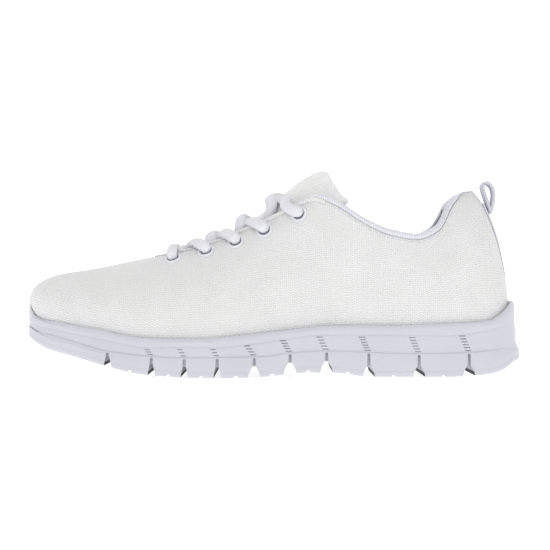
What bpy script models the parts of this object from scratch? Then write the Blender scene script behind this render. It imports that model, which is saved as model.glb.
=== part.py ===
"""Running shoe for the left foot, about EU 40, 280 mm long.

The toe points to -X, the outer (lateral) side to -Y and the sole's lowest
points stand on z = 0. Shapes are worked out in millimetres and scaled to
metres as each mesh is made.
"""
import math

import bmesh
import bpy
from mathutils import Matrix, Vector

MM = 0.001
LATERAL, MEDIAL = -1, 1
SIDE_NAMES = {LATERAL: "lateral", MEDIAL: "medial"}
GAP = 0.3
# Planes that lie well outside the shoe, where cutting bodies end.
TOE_LIMIT, HEEL_LIMIT, LOW_LIMIT, HIGH_LIMIT = -250, 200, -20, 160

# Half outline of the sole at its widest level, toe tip to heel centre: (x, half width).
OUTLINE = [
    (-140, 0), (-138, 13), (-131, 25), (-118, 35), (-98, 44), (-70, 49.5), (-40, 49),
    (-5, 43), (30, 38), (65, 36.5), (95, 37), (118, 33), (132, 22), (138, 11), (140, 0),
]
# The last curves inwards at the toe: (x, y of the centre line).
CENTRE_LINE = [(-140, 6), (-100, 3), (-60, -0.5), (0, -3.5), (50, -2), (140, 0)]

# Heights along the sole: (x, z).
BOTTOM = [
    (-138, 20.5), (-126, 15), (-111, 11.4), (-95, 7.2), (-83, 4.2), (-73, 2.2), (-60, 1),
    (-40, 0), (-14, 0), (2, 1.2), (18, 2.6), (30, 2.6), (42, 1.5), (54, 0), (96, 0),
    (105, 0.4), (115, 0.9), (122, 1.8), (129, 3.8), (135, 7.5),
]
LUG_LINE = [
    (-139, 25), (-126, 23.3), (-111, 19.6), (-90, 14.4), (-70, 12.2), (-51, 11.1), (-3, 11.7),
    (8, 13.3), (28, 14.4), (76, 12.8), (110, 13.5), (138, 17),
]
BAND_LINE = [
    (-139, 31), (-128, 27.1), (-111, 23.6), (-90, 19.8), (-70, 16.5), (-32, 16.5), (-12, 18.2),
    (8, 20.9), (28, 23), (95, 22.5), (105, 23.1), (116, 25), (129, 28.7), (136, 32),
]
RIM_TOP = [
    (-138, 39.7), (-134, 33.5), (-128, 31), (-120, 30.2), (-106, 27.9), (-92, 25.7), (-79, 23),
    (-66, 21.9), (-40, 21.4), (-20, 23), (0, 25.2), (18, 27.3), (31, 28.4), (63, 28.4),
    (96, 29.5), (119, 31), (127, 35), (134, 41.5),
]
CUP_FLOOR = [
    (-138, 27), (-120, 21.5), (-105, 18), (-90, 16), (-66, 14.5), (-30, 15.5), (0, 18.5),
    (30, 21.5), (60, 22.5), (130, 23),
]
PAD_THICKNESS = 3.2
GROOVE_X = [-90.3, -66, -48.1, -30.3, -10.3, 9.2, 29.2, 52.4, 80, 107.6]
SLOT_HALF_WIDTH = 1.0
NARROW_GROOVES = 4
NARROW_MOUTH, WIDE_MOUTH = 2.6, 3.9
MOUTH_HEIGHT = 6.5

# How far the rim's outer face stands in from the outline: (t, distance).
RIM_INSET = [(0, 0.3), (0.1, 1.2), (0.85, 1.2), (0.95, 2.4), (1, 3)]
RIM_THICKNESS = 2.6
# How much further in the upper starts, so that it clears the rim as it bulges: (t, distance).
TUCK = [(0, 3.0), (0.2, 2.0), (0.85, 1.7), (1, 1.2)]

# The toe bends up about this line, at the top of the rim over the second groove.
FLEX_X, FLEX_Z = -66.0, 22.0
FLEX_RANGE = math.radians(26)

# Top edge of the upper: the ridge over the toes, then the throat, then the collar.
# (t, x, half width, z)
TOP_EDGE = [
    (0, -108, 0, 58), (0.10, -104, 0, 58.9), (0.19, -94, 0, 61), (0.275, -74, 0, 65.2),
    (0.30, -66, 7, 66.6), (0.34, -53, 12.5, 69.5),
    (0.40, -33, 14.5, 75.2), (0.46, -14, 16.5, 83), (0.50, -1.5, 18, 88.5),
    (0.54, 11, 20.5, 94.6), (0.58, 22.5, 24, 99), (0.615, 34, 27.5, 94.5),
    (0.66, 50, 30, 84.3), (0.70, 64, 30.5, 78), (0.745, 79, 29.5, 75.4),
    (0.80, 92, 26.5, 80.5), (0.85, 100.5, 21.5, 95), (0.90, 107, 15, 102),
    (0.95, 112, 8, 103), (1, 114, 0, 102.8),
]
RIDGE_END = 0.276
# Handles of the upper's ribs: (t, bulge out, rise share, reach share, drop at the top edge)
RIB_SHAPE = [
    (0, 10, 0.81, 0.64, 0.5), (0.19, 7, 0.65, 0.6, 0), (0.285, 6, 0.6, 0.55, 0),
    (0.34, 5, 0.5, 0.4, 4), (0.40, 5, 0.5, 0.38, 7), (0.50, 4, 0.45, 0.3, 11),
    (0.58, 3.5, 0.4, 0.2, 14), (0.70, 4, 0.45, 0.3, 12), (0.80, 4.5, 0.45, 0.25, 13),
    (0.90, 5, 0.45, 0.4, 8), (1, 4, 0.35, 0.5, 8),
]

# Layers of the upper, as depths below its outer face.
OUTER_THICKNESS = 1.4
STIFFENER = (1.8, 2.6)
EYESTAY = (1.8, 2.6)
LINING_DEPTH, LINING_THICKNESS = 3.1, 0.9
COLLAR_PADDING, HEEL_PADDING = 4.6, 7.6
COLLAR_START, COLLAR_FULL = 0.57, 0.64
# Collar binding: (share of its depth, height above its foot), and the foot's height over the edge.
BINDING_SECTION = [(0.01, 0), (-0.01, 1.5), (0.17, 3.3), (0.5, 3.8), (0.83, 2.9), (1, 1), (1, 0)]
BINDING_FOOT = 0.9

EYELET_T = [0.332, 0.388, 0.440, 0.490, 0.551]
# Distance of each eyelet from the throat's edge: (t, distance).
EYELET_BELOW_EDGE = [(0.332, 8.4), (0.44, 7.8), (0.551, 6.3)]
EYELET_HOLE = 3.4
# Turned profile of an eyelet: (radius, height above the upper's face).
EYELET_PROFILE = [
    (2.5, -2.8), (3.0, -2.8), (3.0, 0.5), (4.3, 0.5), (4.2, 1.0), (3.5, 1.5), (2.8, 1.2), (2.5, 0.5),
]

LACE_DIAMETER = 3.2
AGLET_LENGTH, AGLET_DIAMETER = 18.0, 3.2
# How far the lace's middle line runs under the eyestay, over its edge and over an eyelet.
LACE_BELOW = EYESTAY[1] + LACE_DIAMETER / 2 + 0.5
LACE_ABOVE = LACE_DIAMETER / 2 + 1.6
LACE_OVER_EYELET = LACE_DIAMETER / 2 + 2.4
# How far its middle line runs above the tongue, and how much higher where it crosses itself.
LACE_LIFT = LACE_DIAMETER / 2 + 1.7
LACE_STACK = LACE_DIAMETER + 0.6
# Distance from the tongue's middle line of the points where the lace bends over it.
SHOULDER = 6.0

# Tongue: its top face along the middle (u, x, z, half width, hump height).
TONGUE = [
    (0, -63, 61.5, 12, 3.5), (0.17, -46, 69.5, 14, 10), (0.33, -30, 77.3, 16, 13.5),
    (0.52, -13, 87.4, 16.5, 16.5), (0.65, -1, 95.8, 16.5, 18), (0.73, 6.5, 102.3, 16.5, 18.5),
    (0.82, 14, 107.8, 16.8, 18.5), (0.92, 22.5, 112.9, 17.5, 18), (1, 29.5, 115.5, 18, 18),
]
TONGUE_HUMP_HALF_WIDTH = 17.0
TONGUE_SIDE_SLOPE = 0.4
# How quickly the tongue's face turns to the side, away from its middle line.
SIDE_TILT = 1.6
TONGUE_LAYERS = {"tongue_outer": (0, 1.1), "tongue_foam": (1.4, 5.2), "tongue_lining": (5.5, 6.4)}

TONGUE_HINGE = (-63, 0, 58)

TAB_HALF_WIDTH = 6.0
# Outlines of the tab's strap and of the hole through its loop: (x, z).
TAB_OUTLINE = [
    (123.2, 90.2), (124.6, 91.6), (125.7, 96), (126.2, 101), (125.6, 105.8), (123, 109.1),
    (119.6, 109.3), (117.7, 107.3), (117.5, 104.8), (118.5, 101.5), (119.9, 98.2), (121.2, 95),
    (122.2, 92.4),
]
TAB_HOLE = [
    (122.9, 95), (124.4, 98.5), (125, 102), (124.6, 105.6), (122.4, 108), (119.9, 108.1),
    (118.8, 106), (119.1, 103.6), (119.9, 100.8), (121.4, 98),
]
TAB_HINGE = (123.6, 0, 90.5)

# colour, roughness, metallic
MATERIALS = {
    "mesh_white": ((0.86, 0.86, 0.85), 0.85, 0),
    "lining_lavender": ((0.78, 0.78, 0.85), 0.9, 0),
    "foam_white": ((0.80, 0.80, 0.86), 0.6, 0),
    "rubber_white": ((0.78, 0.78, 0.84), 0.7, 0),
    "padding_foam": ((0.75, 0.75, 0.74), 0.95, 0),
    "stiff_board": ((0.70, 0.68, 0.62), 0.8, 0),
    "lace_lavender": ((0.80, 0.80, 0.87), 0.9, 0),
    "eyelet_plastic": ((0.84, 0.84, 0.88), 0.4, 0),
}


# All layers of the upper share these steps, so that their facets lie parallel.
T_STEP = 0.025
S_STEPS = 12
HEEL_SEAM = 0.002


# ---------------------------------------------------------------- curves
def read_curve(rows, key):
    """Read a table of (key, value, ...) rows as smooth curves that never overshoot."""
    if key <= rows[0][0]:
        return rows[0][1:]
    if key >= rows[-1][0]:
        return rows[-1][1:]
    i = max(k for k in range(len(rows) - 1) if rows[k][0] <= key)
    step = rows[i + 1][0] - rows[i][0]
    f = (key - rows[i][0]) / step
    values = []
    for column in range(1, len(rows[0])):
        start, end = rows[i][column], rows[i + 1][column]
        slope_in, slope_out = knot_slope(rows, i, column), knot_slope(rows, i + 1, column)
        values.append(
            start * (1 + 2 * f) * (1 - f) ** 2 + end * f * f * (3 - 2 * f)
            + step * (slope_in * f * (1 - f) ** 2 + slope_out * f * f * (f - 1))
        )
    return tuple(values)


def secant(rows, i, column):
    return (rows[i + 1][column] - rows[i][column]) / (rows[i + 1][0] - rows[i][0])


def knot_slope(rows, i, column):
    """Slope at row i: the harmonic mean of its two secants, and level at a peak."""
    if i == 0:
        return secant(rows, 0, column)
    if i == len(rows) - 1:
        return secant(rows, i - 1, column)
    before, after = secant(rows, i - 1, column), secant(rows, i, column)
    if before * after <= 0:
        return 0.0
    return 2 * before * after / (before + after)


def height(rows, x):
    return read_curve(rows, x)[0]


def smooth_step(low, high, value):
    f = min(max((value - low) / (high - low), 0), 1)
    return f * f * (3 - 2 * f)


def outline_by_length():
    """The outline's points, keyed from 0 at the toe to 1 at the heel along its length."""
    lengths = [0.0]
    for a, b in zip(OUTLINE, OUTLINE[1:]):
        lengths.append(lengths[-1] + math.dist(a, b))
    return [(s / lengths[-1], x, width) for s, (x, width) in zip(lengths, OUTLINE)]


OUTLINE_CURVE = outline_by_length()


# ---------------------------------------------------------------- surfaces
def outline_normal(t):
    """Outward direction of the half outline at t, in x and half width."""
    if t <= 0 or t >= 1:
        return Vector((-1, 0)) if t <= 0 else Vector((1, 0))
    step = 0.01
    before = Vector(read_curve(OUTLINE_CURVE, t - step))
    after = Vector(read_curve(OUTLINE_CURVE, t + step))
    along = (after - before).normalized()
    return Vector((-along.y, along.x))


def sole_point(side, t, inset, rows, rise=0.0):
    """A point of the sole: the outline moved in by inset, at the height that rows give."""
    flat = Vector(read_curve(OUTLINE_CURVE, t)) - outline_normal(t) * inset
    level = height(rows, flat.x) + rise
    return Vector((flat.x, side * max(flat.y, 0) + height(CENTRE_LINE, flat.x), level))


def rim_inset(t):
    return height(RIM_INSET, t)


def cup_inset(t):
    """How far in from the outline the upper's outer face stands on the cup floor."""
    return rim_inset(t) + RIM_THICKNESS + GAP + height(TUCK, t)


def rib_points(side, t):
    """The four Bezier points of the upper's rib at t, from the cup to its top edge."""
    bulge, rise, reach, drop = read_curve(RIB_SHAPE, t)
    bottom = sole_point(side, t, cup_inset(t), CUP_FLOOR, GAP)
    top_x, top_width, top_z = read_curve(TOP_EDGE, t)
    top = Vector((top_x, side * top_width + height(CENTRE_LINE, top_x), top_z))
    out = outline_normal(t)
    low = bottom + Vector((out.x * bulge, side * out.y * bulge, rise * (top_z - bottom.z)))
    high = top + Vector(((bottom.x - top.x) * reach, (bottom.y - top.y) * reach, -drop))
    return bottom, low, high, top


def upper_surface(side, t, s):
    """The upper's outer face: t runs from toe to heel and s from the cup to the top edge."""
    a, b, c, d = rib_points(side, t)
    r = 1 - s
    return a * r ** 3 + b * (3 * s * r * r) + c * (3 * s * s * r) + d * s ** 3


def upper_normal(side, t, s):
    step = 0.004
    t_low, t_high = max(t - step, 0), min(t + step, 1)
    s_low, s_high = max(s - step, 0), min(s + step, 1)
    along = upper_surface(side, t_high, s) - upper_surface(side, t_low, s)
    up = upper_surface(side, t, s_high) - upper_surface(side, t, s_low)
    if t < step or t > 1 - step:
        along = Vector((0, side if t < step else -side, 0))
    if s > 1 - step and t < RIDGE_END:
        up = Vector((0, -side, 0))
    return up.cross(along).normalized() * side


def upper_point(side, t, s, depth):
    """A point of the upper at a depth below its outer face."""
    return upper_surface(side, t, s) - upper_normal(side, t, s) * depth


def collar_share(t, s):
    """0 where the upper is thin, 1 where its collar is fully padded."""
    return smooth_step(COLLAR_START, COLLAR_FULL, t) * smooth_step(0.45, 0.8, s)


def lining_depth(t, s):
    """The lining lies deeper behind the padded collar, most of all round the heel."""
    padding = COLLAR_PADDING + (HEEL_PADDING - COLLAR_PADDING) * smooth_step(0.76, 0.88, t)
    return LINING_DEPTH + padding * collar_share(t, s)


def tongue_point(v, u, depth):
    """A point of the tongue: v from -1 to 1 across it, u from its root to its tip."""
    x, z, half_width, hump = read_curve(TONGUE, u)
    x_next, z_next = read_curve(TONGUE, min(u + 0.01, 1))[:2]
    x_last, z_last = read_curve(TONGUE, max(u - 0.01, 0))[:2]
    along = Vector((x_next - x_last, 0, z_next - z_last)).normalized()
    lift = Vector((-along.z, 0, along.x))
    y = v * half_width
    share = min(abs(y) / TONGUE_HUMP_HALF_WIDTH, 1)
    drop = hump * (1 - math.cos(math.pi * share)) / 2
    drop += max(abs(y) - TONGUE_HUMP_HALF_WIDTH, 0) * TONGUE_SIDE_SLOPE
    centre = Vector((x, y + height(CENTRE_LINE, x), z))
    return centre - lift * (drop + depth)


# ---------------------------------------------------------------- meshes
def make_object(name, bm, material):
    """Turn millimetre geometry into a named object in metres with its own material."""
    bmesh.ops.remove_doubles(bm, verts=bm.verts, dist=0.02)
    bmesh.ops.dissolve_degenerate(bm, edges=bm.edges, dist=0.005)
    drop_inner_walls(bm)
    bmesh.ops.recalc_face_normals(bm, faces=bm.faces)
    bmesh.ops.scale(bm, vec=(MM, MM, MM), verts=bm.verts)
    mesh = bpy.data.meshes.new(name)
    bm.to_mesh(mesh)
    bm.free()
    obj = bpy.data.objects.new(name, mesh)
    shoe_collection.objects.link(obj)
    obj.data.materials.append(materials[material])
    return obj


def drop_inner_walls(bm):
    """Delete the walls left inside a shell where welding has joined its two borders."""
    inner = [face for face in bm.faces
             if sum(len(edge.link_faces) > 2 for edge in face.edges) >= 2]
    bmesh.ops.delete(bm, geom=inner, context="FACES")


def bridge(bm, ring_a, ring_b, closed):
    count = len(ring_a) if closed else len(ring_a) - 1
    for i in range(count):
        j = (i + 1) % len(ring_a)
        corners = [ring_a[i], ring_a[j], ring_b[j], ring_b[i]]
        bm.faces.new(corners)


def grid_solid(outer, inner):
    """Closed body between two grids of points with the same rows and columns."""
    bm = bmesh.new()
    layers = []
    for grid in (outer, inner):
        rows = [[bm.verts.new(point) for point in row] for row in grid]
        for row_a, row_b in zip(rows, rows[1:]):
            bridge(bm, row_a, row_b, closed=False)
        layers.append(rows)
    bridge(bm, border_loop(layers[0]), border_loop(layers[1]), closed=True)
    return bm


def border_loop(rows):
    """The vertices round a grid's edge, in order."""
    right = [row[-1] for row in rows[1:-1]]
    left = [row[0] for row in rows[-2:0:-1]]
    return list(rows[0]) + right + list(reversed(rows[-1])) + left


def upper_shell(columns, s_range, depths):
    """A layer of the upper over the columns (side, t), between two depths.

    s_range gives the lowest and highest s at t, and each depth is a function of t and s.
    """
    low, high = s_range(columns[0][1])
    rows = max(round((high - low) * S_STEPS), 3)
    grids = []
    for depth in depths:
        grid = []
        for row in range(rows + 1):
            line = []
            for side, t in columns:
                low, high = s_range(t)
                s = low + (high - low) * row / rows
                line.append(upper_point(side, t, s, depth(t, s)))
            grid.append(line)
        grids.append(grid)
    return grid_solid(*grids)


def constant(value):
    return lambda t, s: value


def one_side(side, start, end):
    """Columns from start to end on the common steps of t, both included."""
    count = round((end - start) / T_STEP)
    return [(side, start + k * T_STEP) for k in range(count + 1)]


def round_toe(end):
    return list(reversed(one_side(LATERAL, 0, end))) + one_side(MEDIAL, 0, end)[1:]


def round_heel(start):
    return one_side(LATERAL, start, 1) + list(reversed(one_side(MEDIAL, start, 1)))[1:]


def to_seam(side, start):
    """Columns from start to just short of the seam down the heel."""
    return one_side(side, start, 1)[:-1] + [(side, 1 - HEEL_SEAM)]


def sole_rings(levels, count=34):
    """Closed body through rings round the sole; each level is (inset of t, rows, rise)."""
    bm = bmesh.new()
    rings = []
    for inset, rows, rise in levels:
        half = [[sole_point(side, k / count, inset(k / count), rows, rise) for k in range(count + 1)]
                for side in (LATERAL, MEDIAL)]
        rings.append([[bm.verts.new(point) for point in line] for line in half])
    for ring_a, ring_b in zip(rings, rings[1:]):
        for side in (0, 1):
            bridge(bm, ring_a[side], ring_b[side], closed=False)
    for end in (rings[0], rings[-1]):
        bridge(bm, end[0], end[1], closed=False)
    return bm


def prism(polygon, half_width=80.0):
    """Body of an outline in x and z, drawn out along y to both sides."""
    bm = bmesh.new()
    near = [bm.verts.new((x, -half_width, z)) for x, z in polygon]
    far = [bm.verts.new((x, half_width, z)) for x, z in polygon]
    bridge(bm, near, far, closed=True)
    bm.faces.new(near)
    bm.faces.new(list(reversed(far)))
    return bm


def turned(profile, centre, axis, steps=16):
    """Closed ring: a profile of (radius, height) turned about an axis at centre."""
    bm = bmesh.new()
    turn = axis.to_track_quat("Z", "Y").to_matrix()
    rings = []
    for step in range(steps):
        angle = 2 * math.pi * step / steps
        spoke = [Vector((r * math.cos(angle), r * math.sin(angle), h)) for r, h in profile]
        rings.append([bm.verts.new(centre + turn @ point) for point in spoke])
    for ring_a, ring_b in zip(rings, rings[1:] + rings[:1]):
        bridge(bm, ring_a, ring_b, closed=True)
    return bm


def rod(centre, axis, radius, low, high, steps=16):
    """Solid cylinder along an axis, from low to high beyond its centre."""
    bm = bmesh.new()
    bmesh.ops.create_cone(bm, cap_ends=True, segments=steps, radius1=radius, radius2=radius, depth=high - low)
    turn = axis.to_track_quat("Z", "Y").to_matrix().to_4x4()
    place = Matrix.Translation(centre + axis * (low + high) / 2) @ turn
    bmesh.ops.transform(bm, matrix=place, verts=bm.verts)
    return bm


def boolean(obj, cutter_bm, operation):
    """Cut obj by a millimetre body, or keep only what lies inside it."""
    cutter = make_object("cutter", cutter_bm, "mesh_white")
    modifier = obj.modifiers.new("cut", "BOOLEAN")
    modifier.solver = "EXACT"
    modifier.operation = operation
    modifier.object = cutter
    graph = bpy.context.evaluated_depsgraph_get()
    result = bpy.data.meshes.new_from_object(obj.evaluated_get(graph))
    obj.modifiers.clear()
    old_mesh, obj.data = obj.data, result
    bpy.data.meshes.remove(old_mesh)
    bpy.data.objects.remove(cutter)
    weld(obj)


def weld(obj):
    bm = bmesh.new()
    bm.from_mesh(obj.data)
    bmesh.ops.remove_doubles(bm, verts=bm.verts, dist=0.00002)
    bmesh.ops.dissolve_degenerate(bm, edges=bm.edges, dist=0.00001)
    bm.to_mesh(obj.data)
    bm.free()


def rear_region():
    edge = FLEX_X + GAP / 2
    return prism([(edge, LOW_LIMIT), (HEEL_LIMIT, LOW_LIMIT), (HEEL_LIMIT, HIGH_LIMIT), (edge, HIGH_LIMIT)])


def lean_at(z):
    """How far the forefoot's rear face leans towards the toe at height z."""
    return math.tan(FLEX_RANGE) * (z - FLEX_Z)


def forefoot_region():
    """Everything before the flex line, and before the wedge that bends above it."""
    edge = FLEX_X - GAP / 2
    return prism([(edge, LOW_LIMIT), (edge, FLEX_Z), (edge - lean_at(HIGH_LIMIT), HIGH_LIMIT),
                  (TOE_LIMIT, HIGH_LIMIT), (TOE_LIMIT, LOW_LIMIT)])


def wedge_region():
    """The part of the upper that folds when the toe bends up."""
    foot = FLEX_Z + 2
    rear_edge = FLEX_X - GAP / 2
    front_edge = rear_edge + 1.2 * GAP
    return prism([(rear_edge, foot), (rear_edge, HIGH_LIMIT),
                  (front_edge - lean_at(HIGH_LIMIT), HIGH_LIMIT), (front_edge - lean_at(foot), foot)])


# ---------------------------------------------------------------- sole
def side_wall(extra):
    """Inset of the lugs, which stand outside the rim and swell out most behind the heel."""
    return lambda t: rim_inset(t) * 0.5 * (1 - smooth_step(0.88, 1, t)) + extra


def midsole_levels():
    """Rings of the foam midsole from the cup floor over the rim to the lugs' lower ends."""
    def rim(extra):
        return lambda t: rim_inset(t) + extra

    return [
        (rim(RIM_THICKNESS), CUP_FLOOR, 0),
        (rim(RIM_THICKNESS - 0.1), RIM_TOP, -1.0),
        (rim(1.3), RIM_TOP, 0),
        (rim(0.2), RIM_TOP, -1.2),
        (rim(0), BAND_LINE, 3.0),
        (rim(0.4), BAND_LINE, 0.7),
        (rim(1.4), BAND_LINE, 0),
        (side_wall(0.8), BAND_LINE, -0.7),
        (side_wall(0.6), LUG_LINE, 0.9),
        (side_wall(1.5), LUG_LINE, 0.1),
        (side_wall(0.2), LUG_LINE, -0.8),
        (side_wall(0), BOTTOM, PAD_THICKNESS + 2.5),
        (side_wall(0.5), BOTTOM, PAD_THICKNESS),
    ]


def groove_cutter(index, x):
    """Slot across the sole with a mouth that opens downwards."""
    mouth = NARROW_MOUTH if index < NARROW_GROOVES else WIDE_MOUTH
    top = height(LUG_LINE, x) - 0.6
    low = height(BOTTOM, x)
    slot = SLOT_HALF_WIDTH
    return prism([
        (x - slot, top), (x + slot, top), (x + slot, low + MOUTH_HEIGHT),
        (x + mouth, low - 2), (x - mouth, low - 2), (x - slot, low + MOUTH_HEIGHT),
    ])


def make_midsole():
    for name, region in (("midsole_forefoot", forefoot_region), ("midsole_rear", rear_region)):
        midsole = make_object(name, sole_rings(midsole_levels()), "foam_white")
        for index, x in enumerate(GROOVE_X):
            boolean(midsole, groove_cutter(index, x), "DIFFERENCE")
        boolean(midsole, region(), "INTERSECT")


def make_outsole():
    """Eleven rubber pads, one under each lug, toe to heel."""
    levels = [
        (side_wall(0.5), BOTTOM, PAD_THICKNESS - GAP),
        (side_wall(0.3), BOTTOM, PAD_THICKNESS - 1.4),
        (side_wall(1.0), BOTTOM, 0.7),
        (side_wall(2.6), BOTTOM, 0),
    ]
    edges = [TOE_LIMIT] + GROOVE_X + [HEEL_LIMIT]
    for index, (start, end) in enumerate(zip(edges, edges[1:])):
        pad = make_object(f"outsole_pad_{index + 1:02d}", sole_rings(levels), "rubber_white")
        span = [(start, LOW_LIMIT), (end, LOW_LIMIT), (end, HIGH_LIMIT), (start, HIGH_LIMIT)]
        boolean(pad, prism(span), "INTERSECT")
        for groove, x in enumerate(GROOVE_X):
            if x in (start, end):
                boolean(pad, groove_cutter(groove, x), "DIFFERENCE")


def make_footbed():
    """Strobel board and insole, each in a toe part and a rear part."""
    def inset(extra):
        return lambda t: cup_inset(t) + LINING_DEPTH + LINING_THICKNESS + GAP + extra

    layers = {
        "strobel_board": ("stiff_board", [(inset(0), CUP_FLOOR, 0.3), (inset(0), CUP_FLOOR, 1.6)]),
        "insole": ("lining_lavender", [
            (inset(0.2), CUP_FLOOR, 1.9), (inset(0), CUP_FLOOR, 4.6), (inset(1), CUP_FLOOR, 5.6)]),
    }
    for name, (material, levels) in layers.items():
        for end, region in (("forefoot", forefoot_region), ("rear", rear_region)):
            part = make_object(f"{name}_{end}", sole_rings(levels, 24), material)
            boolean(part, region(), "INTERSECT")


# ---------------------------------------------------------------- upper
def whole_rib(t):
    return 0.0, 1.0


def lining_range(t):
    """The lining stops under the eyestay, and reaches the edge over the toes and collar."""
    if t < RIDGE_END:
        return 0.0, 1.0
    share = smooth_step(0.56, 0.62, t)
    return 0.0, 0.72 + 0.27 * share


def make_toe_upper():
    """Vamp, its lining and the toe puff ahead of the flex line, and the wedge that folds."""
    toe = round_toe(0.35)
    lining_end = constant(LINING_DEPTH + LINING_THICKNESS)
    outer = (constant(0), constant(OUTER_THICKNESS))
    vamp = make_object("vamp", upper_shell(toe, whole_rib, outer), "mesh_white")
    boolean(vamp, forefoot_region(), "INTERSECT")
    lining = upper_shell(toe, whole_rib, (constant(LINING_DEPTH), lining_end))
    lining = make_object("vamp_lining", lining, "lining_lavender")
    boolean(lining, forefoot_region(), "INTERSECT")
    wedge = upper_shell(toe, whole_rib, (constant(0), lining_end))
    wedge = make_object("vamp_flex_panel", wedge, "mesh_white")
    boolean(wedge, wedge_region(), "INTERSECT")
    puff = upper_shell(round_toe(0.125), lambda t: (1 / S_STEPS, 7 / S_STEPS), stiffener_depths())
    make_object("toe_puff", puff, "stiff_board")


def stiffener_depths():
    return constant(STIFFENER[0]), constant(STIFFENER[1])


def make_quarters():
    """Outer mesh, eyestay and lining of each side behind the flex line."""
    outer = (constant(0), constant(OUTER_THICKNESS))
    lining_depths = (lining_depth, lambda t, s: lining_depth(t, s) + LINING_THICKNESS)
    for side in (LATERAL, MEDIAL):
        name = SIDE_NAMES[side]
        quarter = upper_shell(to_seam(side, 0.25), whole_rib, outer)
        quarter = make_object(f"quarter_{name}", quarter, "mesh_white")
        boolean(quarter, rear_region(), "INTERSECT")
        eyestay = upper_shell(one_side(side, 0.325, 0.575), lambda t: (9 / S_STEPS, 1.0),
                              (constant(EYESTAY[0]), constant(EYESTAY[1])))
        eyestay = make_object(f"eyestay_{name}", eyestay, "stiff_board")
        lining = upper_shell(to_seam(side, 0.3), lining_range, lining_depths)
        lining = make_object(f"lining_{name}", lining, "lining_lavender")
        boolean(lining, rear_region(), "INTERSECT")
        for t in EYELET_T:
            centre, normal = eyelet_place(side, t)
            for part in (quarter, eyestay):
                boolean(part, rod(centre, normal, EYELET_HOLE, -6, 6), "DIFFERENCE")


def make_stiffeners():
    """Heel counter and collar foam, between the outer mesh and the lining."""
    counter = upper_shell(round_heel(0.80), lambda t: (1 / S_STEPS, 5 / S_STEPS), stiffener_depths())
    make_object("heel_counter", counter, "stiff_board")
    foam_depths = (constant(STIFFENER[0]), lambda t, s: lining_depth(t, s) - GAP - 0.1)
    foam = upper_shell(round_heel(0.625), lambda t: (8 / S_STEPS, 1.0), foam_depths)
    make_object("collar_foam", foam, "padding_foam")


def make_collar_binding():
    """Knit binding that caps the edges of the collar's layers; it is low behind the heel."""
    bm = bmesh.new()
    rings = []
    for side, t in round_heel(0.60):
        edge = upper_surface(side, t, 1.0)
        rise = (edge - upper_surface(side, t, 0.97)).normalized()
        inward = -upper_normal(side, t, 1.0)
        grow = 0.55 + 0.45 * smooth_step(0.60, 0.64, t)
        deep = grow * (lining_depth(t, 1.0) + LINING_THICKNESS - 0.2)
        tall = grow * (1 - 0.5 * smooth_step(0.84, 0.92, t))
        points = [edge + inward * (d * deep) + rise * (BINDING_FOOT + h * tall) for d, h in BINDING_SECTION]
        rings.append([bm.verts.new(point) for point in points])
    for ring_a, ring_b in zip(rings, rings[1:]):
        bridge(bm, ring_a, ring_b, closed=True)
    bm.faces.new(rings[0])
    bm.faces.new(rings[-1])
    make_object("collar_binding", bm, "lining_lavender")


def make_back_strip():
    strip = upper_shell(round_heel(0.975), lambda t: (4 / S_STEPS, 10 / S_STEPS),
                        (constant(-1.2), constant(-GAP)))
    make_object("back_strip", strip, "lining_lavender")


# ---------------------------------------------------------------- lacing
def eyelet_place(side, t):
    """Centre on the outer face and outward normal of the eyelet on the rib at t."""
    s = 1.0
    edge = upper_surface(side, t, 1.0)
    while (upper_surface(side, t, s) - edge).length < height(EYELET_BELOW_EDGE, t):
        s -= 0.005
    return upper_surface(side, t, s), upper_normal(side, t, s)


def make_eyelets():
    for side in (LATERAL, MEDIAL):
        for number, t in enumerate(EYELET_T):
            centre, normal = eyelet_place(side, t)
            ring = turned(EYELET_PROFILE, centre, normal, 14)
            make_object(f"eyelet_{SIDE_NAMES[side]}_{number + 1}", ring, "eyelet_plastic")


def tongue_share(x):
    """How far along the tongue its middle line passes x."""
    return min((abs(read_curve(TONGUE, k / 200)[0] - x), k / 200) for k in range(201))[1]


def over_tongue(x, y, clearance):
    """A point a clearance above the tongue's hump, off its middle line by y."""
    u = tongue_share(x)
    half_width = read_curve(TONGUE, u)[2]
    away = Vector((-0.45, SIDE_TILT * y / TONGUE_HUMP_HALF_WIDTH, 0.9)).normalized()
    return tongue_point(y / half_width, u, 0) + away * clearance


def lace_hole(side, index):
    """Points that take the lace in through an eyelet, outside to inside."""
    centre, normal = eyelet_place(side, EYELET_T[index])
    return [centre + normal * LACE_OVER_EYELET, centre, centre - normal * (LACE_BELOW + 0.2)]


def by_throat(side, t, above, inward):
    """A point above or below the throat's edge at t, and inward from it."""
    place = upper_surface(side, t, 1.0) + upper_normal(side, t, 1.0) * above
    return place - Vector((0, side * inward, 0))


def lace_crossing(side, index, over):
    """From inside one eyelet, out over the tongue, to the outside of the next one opposite."""
    t_leave = EYELET_T[index] + 0.012
    t_arrive = EYELET_T[index + 1] - 0.010
    leave = by_throat(side, t_leave, -LACE_BELOW, 2.4)
    arrive = by_throat(-side, t_arrive, LACE_ABOVE, 1.4)
    middle_x = (leave.x + arrive.x) / 2
    stack = LACE_STACK if over else 0
    return [
        leave,
        over_tongue((leave.x + middle_x) / 2, side * SHOULDER, LACE_LIFT + stack / 2),
        over_tongue(middle_x, 0, LACE_LIFT + stack),
        over_tongue((arrive.x + middle_x) / 2, -side * SHOULDER, LACE_LIFT + stack / 2),
        arrive,
    ]


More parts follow.
